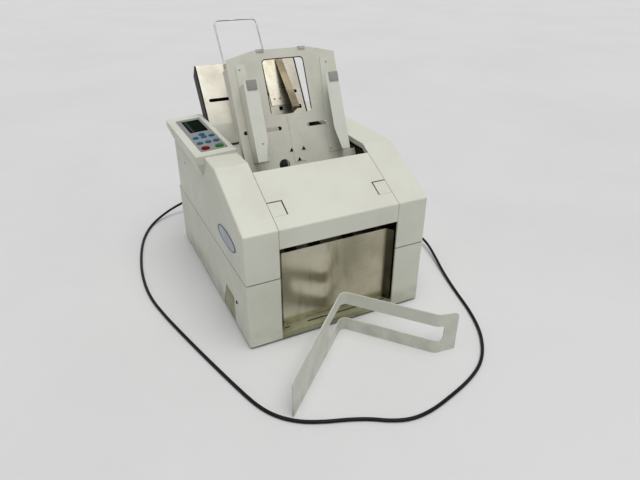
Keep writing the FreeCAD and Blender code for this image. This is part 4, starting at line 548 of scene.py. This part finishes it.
DISPLAY_X = (CONSOLE_PLACE[0] + 0.029, CONSOLE_PLACE[0] + 0.072)
DISPLAY_Y = (CONSOLE_PLACE[1] + 0.159, CONSOLE_PLACE[1] + 0.253)
DISPLAY_MARGIN = 0.005
DISPLAY_SOFT = 0.0003
DISPLAY_PALE = (DISPLAY_X[0] + 0.014, DISPLAY_X[0] + 0.008)
DISPLAY_FIELD = ((6, 18, 9), (12, 26, 16))
DISPLAY_FIELD_PALE = (52, 60, 57)
DISPLAY_BORDER = (14, 17, 17)
DISPLAY_ROUGH = 0.3
DISPLAY_IOR = 1.04
DISPLAY_GLOSS = 0.1


def display_glass():
    """Dark pane with a green-black liquid-crystal field, paler towards its outer edge."""
    material, tree, shader, place = new_finish("display_glass")
    across = axes(tree, place)
    bands = []
    for axis, (low, high) in (("X", DISPLAY_X), ("Y", DISPLAY_Y)):
        low_edge = low + DISPLAY_MARGIN
        high_edge = high - DISPLAY_MARGIN
        rise = ramp(tree, across[axis], low_edge - DISPLAY_SOFT, low_edge)
        fall = inverted(tree, ramp(tree, across[axis], high_edge, high_edge + DISPLAY_SOFT))
        bands.append(math_node(tree, "MULTIPLY", rise, fall))
    grained = placed(tree, MOULDED_GRAIN, place, Grain=900.0, Patch=40.0)
    field = mixed(tree, grained["Patches"], *DISPLAY_FIELD)
    field = mixed(tree, ramp(tree, across["X"], *DISPLAY_PALE), field, DISPLAY_FIELD_PALE)
    pane = mixed(tree, math_node(tree, "MULTIPLY", *bands), DISPLAY_BORDER, field)
    tree.links.new(pane, shader.inputs["Base Color"])
    shader.inputs["Roughness"].default_value = DISPLAY_ROUGH
    shader.inputs["IOR"].default_value = DISPLAY_IOR
    shader.inputs["Specular IOR Level"].default_value = DISPLAY_GLOSS
    return material


MOULDED_FINISHES = {
    "cover": dict(name="cover_plastic", clean=(212, 213, 200), worn=(206, 207, 193),
                  dirt=(120, 117, 103), rough=0.46, seam=SEAM_Z),
    "console": dict(name="console_plastic", clean=(211, 212, 200), worn=(203, 204, 191),
                    dirt=(130, 126, 112), rough=0.42),
    "overlay": dict(name="overlay_film", clean=(142, 142, 141), worn=(136, 136, 135),
                    dirt=(104, 104, 104), rough=0.5, grain=1500.0, depth=0.00001, floor_dirt=0.0,
                    gloss=0.06),
    "guide": dict(name="guide_paint", clean=(211, 212, 202), worn=(204, 205, 194),
                  dirt=(132, 128, 114), rough=0.34, patch=16.0, speck=0.7),
    "deck": dict(name="deck_paint", clean=(182, 182, 170), worn=(170, 170, 158),
                 dirt=(110, 106, 92), rough=0.4),
    "bracket": dict(name="bracket_paint", clean=(205, 206, 194), worn=(197, 198, 186),
                    dirt=(128, 126, 112), rough=0.36, patch=22.0, floor_dirt=0.2),
    "pad": dict(name="pad_plastic", clean=(142, 140, 135), worn=(134, 132, 127),
                dirt=(100, 98, 94), rough=0.55),
    "rack": dict(name="rack_plastic", clean=(118, 117, 110), worn=(108, 107, 100),
                 dirt=(78, 76, 70), rough=0.45),
    "key_blue": dict(name="key_blue", clean=(16, 98, 136), worn=(14, 90, 126),
                     dirt=(14, 62, 84), rough=0.45, gloss=0.04),
    "key_red": dict(name="key_red", clean=(106, 3, 10), worn=(96, 3, 8),
                    dirt=(68, 6, 10), rough=0.45, gloss=0.03),
    "key_green": dict(name="key_green", clean=(40, 106, 40), worn=(34, 97, 34),
                      dirt=(24, 62, 26), rough=0.45, gloss=0.04),
    "board": dict(name="board_green", clean=(30, 96, 62), worn=(26, 84, 54),
                  dirt=(20, 50, 36), rough=0.4),
    "dark": dict(name="dark_plastic", clean=(22, 22, 24), worn=(29, 29, 31),
                 dirt=(54, 52, 49), rough=0.45, gloss=0.14),
    "cord": dict(name="cord_jacket", clean=(10, 10, 11), worn=(15, 15, 16),
                 dirt=(36, 35, 33), rough=0.36, grain=1400.0, gloss=0.14),
    "motor": dict(name="motor_enamel", clean=(58, 58, 62), worn=(50, 50, 54),
                  dirt=(84, 80, 74), rough=0.4),
}
SHEET_FINISHES = {
    "rear": dict(name="rear_steel", bright=(177, 174, 163), dull=(158, 152, 138),
                 stain=(130, 121, 101), rough=0.3, cloud=9.0, stained=0.35, ridge=0.2),
    "steel": dict(name="ground_steel", bright=(190, 190, 186), dull=(160, 160, 155),
                  stain=(110, 103, 90), rough=0.24),
    "dull": dict(name="dull_zinc", bright=(172, 170, 164), dull=(140, 138, 130),
                 stain=(92, 88, 78), rough=0.38, cloud=40.0),
    "wire": dict(name="plated_wire", bright=(176, 179, 180), dull=(150, 152, 150),
                 stain=(120, 116, 106), rough=0.3, cloud=30.0, stained=0.2, spread=0.08, ridge=0.0),
    "sheet": dict(name="supply_sheet", bright=(196, 198, 198), dull=(170, 172, 172),
                  stain=(130, 126, 116), rough=0.32),
}


def make_finishes():
    finishes = {label: moulded(**values) for label, values in MOULDED_FINISHES.items()}
    finishes.update({label: sheet_steel(**values) for label, values in SHEET_FINISHES.items()})
    finishes["feed"] = feed_paint()
    finishes["badge"] = badge_face()
    finishes["delivery"] = delivery_sheet()
    finishes["guide_sheet"] = bent_guide()
    finishes["display"] = display_glass()
    finishes["chromate"] = chromated("yellow_chromate", (156, 157, 130), (130, 130, 102), rough=0.42)
    finishes["frame"] = chromated("olive_chromate", (44, 40, 31), (28, 25, 20), rough=0.5, gloss=0.15)
    finishes["rubber"] = dusty_rubber("black_rubber", (18, 18, 19), (37, 36, 35))
    return finishes


NODE_FINISHES = {
    "cover": ("left_lower_cover", "right_lower_cover", "left_upper_cover", "right_upper_cover",
              "rear_upper_cover", "top_lid", "lid_tab_left", "lid_tab_right"),
    "console": ("console_housing",),
    "overlay": ("console_overlay",),
    "display": ("display_window",),
    "feed": ("feed_plate", "pinion_cover"),
    "guide": ("left_sheet_guide", "right_sheet_guide"),
    "deck": ("sheet_deck",),
    "bracket": ("stacker_bracket",),
    "rack": ("left_guide_rack", "right_guide_rack", "guide_pinion"),
    "key_blue": ("key_up", "key_left", "key_down", "key_right", "key_menu", "key_select",
                 "key_clear"),
    "key_red": ("key_stop",),
    "key_green": ("key_start",),
    "board": ("control_board",),
    "dark": ("rear_cheeks", "mains_inlet", "power_switch", "cord_connector", "mains_plug"),
    "cord": ("power_cord",),
    "motor": ("drive_motor",),
    "delivery": ("delivery_plate",),
    "rear": ("rear_plate",),
    "steel": ("tie_bars", "lid_hinge_pins", "delivery_shaft", "front_feed_shaft",
              "rear_feed_shaft", "motor_pulley"),
    "wire": ("wire_support",),
    "dull": ("plate_clips",),
    "sheet": ("power_supply", "rear_panel"),
    "chromate": ("base_plate",),
    "guide_sheet": ("left_rear_guide", "right_rear_guide"),
    "frame": ("left_side_frame", "right_side_frame"),
    "rubber": ("rubber_feet", "delivery_rollers", "front_feed_rollers", "rear_feed_rollers",
               "drive_belt", "idler_wheel"),
}


def dress_nodes(finishes):
    for finish, names in NODE_FINISHES.items():
        for name in names:
            materials = nodes[name].data.materials
            materials.clear()
            materials.append(finishes[finish])


# Small pieces modelled on the machine
SMOOTH_ANGLE = math.radians(35.0)
CORNER_STEPS = 5
POINTS_THAT_WAY = 0.9


def start_piece():
    bpy.ops.object.select_all(action="DESELECT")


def select_alone(piece):
    start_piece()
    piece.select_set(True)
    bpy.context.view_layer.objects.active = piece


def pick_faces(piece, chosen):
    """Select the faces of a mesh in edit mode whose middle and normal pass a test."""
    bpy.ops.mesh.select_all(action="DESELECT")
    bpy.ops.object.mode_set(mode="OBJECT")
    for face in piece.data.polygons:
        face.select = chosen(face.center, face.normal)
    bpy.ops.object.mode_set(mode="EDIT")
    bpy.ops.mesh.select_mode(type="FACE")


def pick_top(piece):
    pick_faces(piece, lambda middle, normal: normal.z > POINTS_THAT_WAY)


def pick_edges(piece, chosen):
    """Select the edges of a mesh in edit mode whose two ends pass a test."""
    bpy.ops.mesh.select_mode(type="EDGE")
    bpy.ops.mesh.select_all(action="DESELECT")
    bpy.ops.object.mode_set(mode="OBJECT")
    for edge in piece.data.edges:
        first, second = (piece.data.vertices[index].co for index in edge.vertices)
        edge.select = chosen(first, second)
    bpy.ops.object.mode_set(mode="EDIT")


def extrude(x, y, z):
    bpy.ops.mesh.extrude_region_move(TRANSFORM_OT_translate={"value": (x, y, z)})


def cut_away(piece, cutter):
    """Cut the shape of one piece out of another, and drop the cutter."""
    select_alone(piece)
    cut = piece.modifiers.new("cut", "BOOLEAN")
    cut.object = cutter
    cut.operation = "DIFFERENCE"
    cut.solver = "EXACT"
    bpy.ops.object.modifier_apply(modifier=cut.name)
    bpy.data.objects.remove(cutter)


def finish_piece(piece, name, place, finish, body):
    """Put a piece modelled at the origin in its place, with the place in its mesh, on a body."""
    piece.name = name
    piece.data.name = name
    piece.matrix_world = place
    select_alone(piece)
    bpy.ops.object.transform_apply(location=True, rotation=True, scale=True)
    bpy.ops.object.shade_smooth_by_angle(angle=SMOOTH_ANGLE)
    piece.data.materials.clear()
    piece.data.materials.append(finish)
    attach(piece, body)


def round_start(sides, radius, depth):
    """Cylinder along Z, half of it below its place, in edit mode with its top picked."""
    start_piece()
    bpy.ops.mesh.primitive_cylinder_add(vertices=sides, radius=radius, depth=depth)
    piece = bpy.context.object
    bpy.ops.object.mode_set(mode="EDIT")
    pick_top(piece)
    return piece


def level_plate(width, height, thickness, corner, edge):
    """Thin plate on its back face, with rounded corners and a softened front edge."""
    start_piece()
    bpy.ops.mesh.primitive_cube_add(size=1.0, location=(0.0, 0.0, thickness / 2))
    plate = bpy.context.object
    plate.scale = (width, height, thickness)
    bpy.ops.object.transform_apply(location=True, rotation=False, scale=True)
    bpy.ops.object.mode_set(mode="EDIT")
    pick_edges(plate, lambda first, second: abs(first.z - second.z) > thickness / 2)
    bpy.ops.mesh.bevel(offset=corner, segments=CORNER_STEPS, affect="EDGES")
    pick_top(plate)
    bpy.ops.mesh.inset(thickness=edge)
    bpy.ops.mesh.select_more()
    bpy.ops.mesh.select_less()
    bpy.ops.transform.translate(value=(0.0, 0.0, edge / 2))
    bpy.ops.object.mode_set(mode="OBJECT")
    return plate


PAD_W = 0.0225
PAD_H = 0.0210
PAD_T = 0.0014
PAD_CORNER = 0.0015
PAD_EDGE = 0.0006
PAD_V = 0.1933
PAD_U = {"left_guide": -0.0935, "right_guide": 0.0985}


def guide_pads(finishes):
    """Grey pads on the upper ends of the front guides' lips."""
    for body, u in PAD_U.items():
        pad = level_plate(PAD_W, PAD_H, PAD_T, PAD_CORNER, PAD_EDGE)
        place = FEED_FRAME @ Matrix.Translation((u, PAD_V, GUIDE_FRONT))
        finish_piece(pad, body + "_pad", place, finishes["pad"], body)


BADGE_T = 0.0016
BADGE_SIDES = 72
BADGE_RIM = 0.0012
BADGE_DISH = 0.0006


def blank_badge(finishes):
    """Plain oval plate with a raised rim on the left tower."""
    start_piece()
    bpy.ops.mesh.primitive_cylinder_add(vertices=BADGE_SIDES, radius=0.5, depth=BADGE_T,
                                        location=(0.0, 0.0, BADGE_T / 2))
    badge = bpy.context.object
    badge.scale = (BADGE_L, BADGE_H, 1.0)
    bpy.ops.object.transform_apply(location=True, rotation=False, scale=True)
    bpy.ops.object.mode_set(mode="EDIT")
    pick_top(badge)
    bpy.ops.mesh.inset(thickness=BADGE_RIM)
    bpy.ops.mesh.inset(thickness=BADGE_DISH)
    bpy.ops.transform.translate(value=(0.0, 0.0, -BADGE_DISH))
    bpy.ops.object.mode_set(mode="OBJECT")
    place = facing("left", LEFT_X, BADGE_Y, BADGE_Z)
    finish_piece(badge, "blank_badge", place, finishes["badge"], "chassis")


SCREW_R = 0.0026
SCREW_T = 0.0012
SCREW_SIDES = 28
SCREW_DOME = 0.3
RECESS_L = SCREW_R * 1.2
RECESS_W = SCREW_R * 0.28
RECESS_Z = SCREW_T * 0.8


def screw_pattern():
    """Domed screw head with a cross recess, modelled once."""
    head = round_start(SCREW_SIDES, SCREW_R, SCREW_T)
    bpy.ops.mesh.inset(thickness=SCREW_R * SCREW_DOME)
    bpy.ops.transform.translate(value=(0.0, 0.0, SCREW_T * SCREW_DOME))
    bpy.ops.object.mode_set(mode="OBJECT")
    for length, width in ((RECESS_L, RECESS_W), (RECESS_W, RECESS_L)):
        start_piece()
        bpy.ops.mesh.primitive_cube_add(size=1.0, location=(0.0, 0.0, RECESS_Z))
        blade = bpy.context.object
        blade.scale = (length, width, SCREW_T)
        cut_away(head, blade)
    return head


FRONT_GUIDE_SCREWS = {
    "left_guide": ((-0.103, 0.234, GUIDE_BASE), (-0.093, 0.071, GUIDE_FRONT)),
    "right_guide": ((0.103, 0.234, GUIDE_BASE), (0.078, 0.040, GUIDE_BASE)),
}
REAR_GUIDE_SCREWS = {"right_rear_guide": (0.052, 0.068), "left_rear_guide": (-0.014, -0.030)}
REAR_GUIDE_SCREW_V = 0.086


def guide_screws():
    """Places of the screws on the front and rear guides, each with its body."""
    places = []
    for body, points in FRONT_GUIDE_SCREWS.items():
        for point in points:
            places.append((FEED_FRAME @ Matrix.Translation(point), body))
    for body, across in REAR_GUIDE_SCREWS.items():
        for u in across:
            point = (u, REAR_GUIDE_SCREW_V, GUIDE_BASE)
            places.append((REAR_FRAME @ Matrix.Translation(point), body))
    return places


TOWER_SCREW_Y = FRONT_Y + 0.446
TOWER_SCREW_Z = 0.264
FRAME_SCREW_Y = FRONT_Y + 0.017
FRAME_SCREW_Z = (0.186, 0.040)
PANEL_SCREW_X = 0.17
PANEL_SCREW_Z = (0.032, 0.140)
REAR_SCREW_X = 0.12
REAR_SCREW_Z = (0.185, 0.325)


def cover_screws():
    """Places of the screws on the towers, side frames, rear panel and rear cover."""
    inner_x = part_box("right_side_frame")[0].x
    places = [facing(side, x, TOWER_SCREW_Y, TOWER_SCREW_Z)
              for side, x in (("left", LEFT_X), ("right", RIGHT_X))]
    for side, x in (("left", inner_x), ("right", -inner_x)):
        places += [facing(side, x, FRAME_SCREW_Y, z) for z in FRAME_SCREW_Z]
    for x in (-PANEL_SCREW_X, PANEL_SCREW_X):
        places += [facing("rear", x, PANEL_Y, z) for z in PANEL_SCREW_Z]
    for x in (-REAR_SCREW_X, REAR_SCREW_X):
        places += [facing("rear", x, REAR_Y, z) for z in REAR_SCREW_Z]
    return [(place, "chassis") for place in places]


def set_screws(finishes):
    head = screw_pattern()
    for index, (place, body) in enumerate(guide_screws() + cover_screws()):
        screw = head.copy()
        screw.data = head.data.copy()
        scene.collection.objects.link(screw)
        finish_piece(screw, "screw_%02d" % index, place, finishes["dull"], body)
    bpy.data.objects.remove(head)


# Dark cups in the lower covers' screw holes, painted shade for the holes
PLUG_R = 0.0039
PLUG_T = 0.003
PLUG_SIDES = 36
PLUG_LIP = 0.0007
PLUG_DEPTH = 0.0022
PLUG_Y = FRONT_Y + 0.075
PLUG_Z = 0.076


def hole_shade_plugs(finishes):
    """Dark dished plugs that stand a little proud of the lower covers' screw holes and paint the
    shade inside the holes.
    """
    for side, x in (("left", LEFT_X), ("right", RIGHT_X)):
        plug = round_start(PLUG_SIDES, PLUG_R, PLUG_T)
        bpy.ops.mesh.inset(thickness=PLUG_LIP)
        extrude(0.0, 0.0, -PLUG_DEPTH)
        bpy.ops.object.mode_set(mode="OBJECT")
        place = facing(side, x, PLUG_Y, PLUG_Z)
        finish_piece(plug, side + "_hole_shade_plug", place, finishes["dark"], "chassis")


SENSOR_W = 0.050
SENSOR_H = 0.044
SENSOR_T = 0.0014
SENSOR_CORNER = 0.002
SENSOR_EDGE = 0.0004
SENSOR_PLACE = (-0.0025, 0.038, FEED_BACK)


def sensor_board(finishes):
    """Dark board behind the three small holes low on the feed plate."""
    board = level_plate(SENSOR_W, SENSOR_H, SENSOR_T, SENSOR_CORNER, SENSOR_EDGE)
    turned = Matrix.Rotation(math.pi, 4, "Y")
    place = FEED_FRAME @ Matrix.Translation(SENSOR_PLACE) @ turned
    finish_piece(board, "sensor_board", place, finishes["dark"], "chassis")


# Black edging that paints the shade on the feed window's inside faces
TRIM_W = 0.0018
TRIM_T = 0.0014
TRIM_FIT = 0.0001
TRIM_CORNER = 0.0090
TRIM_INNER_CORNER = 0.0075
TRIM_EDGE = 0.0002
TRIM_CUT_OVER = 0.5


def window_shade_edging(finishes):
    """Black edging inside the sides and head of the feed window, open at the foot, as painted shade
    for the window's shaded inside faces.
    """
    height = WINDOW_V[1] - WINDOW_V[0] - 2 * TRIM_FIT
    half = WINDOW_HALF - TRIM_FIT
    trim = level_plate(2 * half, height, TRIM_T, TRIM_CORNER, TRIM_EDGE)
    cutter = level_plate(2 * (half - TRIM_W), (1 + TRIM_CUT_OVER) * height, 4 * TRIM_T,
                         TRIM_INNER_CORNER, TRIM_EDGE)
    cutter.location = (0.0, -TRIM_CUT_OVER / 2 * height - TRIM_W, -2 * TRIM_T)
    cut_away(trim, cutter)
    place = FEED_FRAME @ Matrix.Translation((0.0, sum(WINDOW_V) / 2, -TRIM_T))
    finish_piece(trim, "window_shade_edging", place, finishes["dark"], "chassis")


MARK_R = 0.0060
MARK_T = 0.0004
MARK_EDGE = 0.0006
MARKS = ((-0.017, 0.0487, 0.0001), (0.012, 0.0487, 0.0011), (-0.0025, 0.0260, 0.0011))


def feed_marks(finishes):
    """Dark triangular sight plates over the three small holes low on the feed plate."""
    for index, point in enumerate(MARKS):
        mark = round_start(3, MARK_R, MARK_T)
        bpy.ops.mesh.inset(thickness=MARK_EDGE)
        bpy.ops.transform.translate(value=(0.0, 0.0, -MARK_T / 2))
        bpy.ops.object.mode_set(mode="OBJECT")
        place = FEED_FRAME @ Matrix.Translation(point)
        finish_piece(mark, "feed_mark_%d" % index, place, finishes["dark"], "chassis")


GUARD_IN = 0.070
GUARD_V = (-0.014, 0.038)
GUARD_T = 0.0012
GUARD_CORNER = 0.006
GUARD_EDGE = 0.0004
GUARD_LIFT = 0.0002
GUARD_SIDE_GAP = 0.001


def foot_guards(finishes):
    """Painted guards over the lower outer corners of the rear plate."""
    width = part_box("rear_plate")[1].x - GUARD_SIDE_GAP - GUARD_IN
    for side, name in ((-1, "left_foot_guard"), (1, "right_foot_guard")):
        guard = level_plate(width, GUARD_V[1] - GUARD_V[0], GUARD_T, GUARD_CORNER, GUARD_EDGE)
        middle = side * (GUARD_IN + width / 2)
        place = REAR_FRAME @ Matrix.Translation((middle, sum(GUARD_V) / 2, GUARD_LIFT))
        finish_piece(guard, name, place, finishes["deck"], "chassis")


# Dark sheet behind the rear plate, painted shade for its slot and holes
BACK_V = (0.060, 0.162)
BACK_W = -0.0125
BACK_T = 0.0012
BACK_FOLD = 0.008
AT_EDGE = 0.0001


def rear_shade_sheet(finishes):
    """Dark back cover sheet between the cheeks behind the rear plate, with its long edges folded
    back; its dark tone is also painted shade seen through the plate's slot and holes.
    """
    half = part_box("rear_plate")[1].x
    height = BACK_V[1] - BACK_V[0]
    start_piece()
    bpy.ops.mesh.primitive_cube_add(size=1.0)
    sheet = bpy.context.object
    sheet.scale = (2 * half, height, BACK_T)
    bpy.ops.object.transform_apply(location=False, rotation=False, scale=True)
    bpy.ops.object.mode_set(mode="EDIT")
    for end in (-1, 1):
        pick_faces(sheet, lambda middle, normal: (normal.y * end > POINTS_THAT_WAY
                                                  and abs(middle.y - end * height / 2) < AT_EDGE))
        extrude(0.0, end * BACK_T, 0.0)
        pick_faces(sheet, lambda middle, normal: (normal.z < -POINTS_THAT_WAY
                                                  and middle.y * end > height / 2))
        extrude(0.0, 0.0, -BACK_FOLD)
    bpy.ops.object.mode_set(mode="OBJECT")
    place = REAR_FRAME @ Matrix.Translation((0.0, sum(BACK_V) / 2, BACK_W))
    finish_piece(sheet, "rear_shade_sheet", place, finishes["dark"], "chassis")


RIB_COUNT = 5
RIB_R = 0.0046
RIB_GROWTH = 0.0014
RIB_HALF = 0.0011
RIB_SIDES = 32
RIB_ROUNDNESS = 10
RIB_CROWN = 0.0008
RIB_FLATTEN = (0.97, 0.97, 1.25)
RIB_START = 0.002
RIB_RUN = 0.019


def relief_ribs(finishes):
    """Moulded rings with a flattened crown on the connector's strain relief."""
    exit_point = Vector(CORD_ROUTE[0])
    for index in range(RIB_COUNT):
        share = index / (RIB_COUNT - 1)
        radius = RIB_R + RIB_GROWTH * share
        start_piece()
        bpy.ops.mesh.primitive_torus_add(major_radius=radius, minor_radius=RIB_HALF,
                                         major_segments=RIB_SIDES, minor_segments=RIB_ROUNDNESS)
        ring = bpy.context.object
        bpy.ops.object.mode_set(mode="EDIT")
        pick_faces(ring, lambda middle, normal: middle.xy.length > radius + RIB_CROWN)
        bpy.ops.transform.resize(value=RIB_FLATTEN)
        bpy.ops.object.mode_set(mode="OBJECT")
        y = exit_point.y - RIB_START - RIB_RUN * share
        place = facing("rear", exit_point.x, y, exit_point.z)
        finish_piece(ring, "relief_rib_%d" % index, place, finishes["dark"], "chassis")


# Floor and light
FLOOR_SIZE = 40.0
FLOOR_MIDDLE = (0.0, 8.0, 0.0)
FLOOR_TONES = ((219, 219, 219), (215, 215, 215))
FLOOR_ROUGH = 0.55


def pale_floor():
    start_piece()
    bpy.ops.mesh.primitive_plane_add(size=FLOOR_SIZE, location=FLOOR_MIDDLE)
    floor = bpy.context.object
    floor.name = "floor"
    material, tree, shader, place = new_finish("table_white")
    grained = placed(tree, MOULDED_GRAIN, place, Grain=60.0, Patch=1.4, Speck=0.9)
    base = mixed(tree, grained["Patches"], *FLOOR_TONES)
    tree.links.new(base, shader.inputs["Base Color"])
    shader.inputs["Roughness"].default_value = FLOOR_ROUGH
    floor.data.materials.append(material)


SKY_LIGHT = 0.34
SKY_SEEN = 0.78
CEILING_STRENGTH = 1.88
CEILING_SPREAD = math.radians(50.0)
CEILING_TILT = (math.radians(13.0), math.radians(3.0), 0.0)
FRONT_LAMP_PLACE = Vector((-0.5, -2.9, 2.3))
FRONT_LAMP_TARGET = Vector((0.0, 0.0, 0.3))
FRONT_LAMP_SIZE = 2.4
FRONT_LAMP_POWER = 5.0


def set_sky():
    """Soft white sky, brighter where it is seen, mirrored or looked at through glass."""
    world = bpy.data.worlds.new("studio")
    world.use_nodes = True
    scene.world = world
    tree = world.node_tree
    background = tree.nodes["Background"]
    background.inputs["Color"].default_value = (1.0, 1.0, 1.0, 1.0)
    rays = tree.nodes.new("ShaderNodeLightPath").outputs
    seen = math_node(tree, "MAXIMUM", rays["Is Camera Ray"], rays["Is Transmission Ray"])
    seen = math_node(tree, "MAXIMUM", seen, rays["Is Glossy Ray"])
    tree.links.new(scaled(tree, seen, SKY_LIGHT, SKY_SEEN), background.inputs["Strength"])


def new_lamp(name, kind, power):
    lamp = bpy.data.objects.new(name, bpy.data.lights.new(name, kind))
    lamp.data.energy = power
    scene.collection.objects.link(lamp)
    return lamp


def set_light():
    set_sky()
    ceiling = new_lamp("ceiling", "SUN", CEILING_STRENGTH)
    ceiling.data.angle = CEILING_SPREAD
    ceiling.rotation_euler = CEILING_TILT
    front = new_lamp("front", "AREA", FRONT_LAMP_POWER)
    front.data.shape = "DISK"
    front.data.size = FRONT_LAMP_SIZE
    front.location = FRONT_LAMP_PLACE
    aim = FRONT_LAMP_TARGET - FRONT_LAMP_PLACE
    front.rotation_euler = aim.to_track_quat("-Z", "Y").to_euler()


set_camera()
finishes = make_finishes()
dress_nodes(finishes)
lay_cord(finishes["cord"])
guide_pads(finishes)
blank_badge(finishes)
set_screws(finishes)
relief_ribs(finishes)
hole_shade_plugs(finishes)
sensor_board(finishes)
window_shade_edging(finishes)
feed_marks(finishes)
foot_guards(finishes)
rear_shade_sheet(finishes)
pale_floor()
set_light()
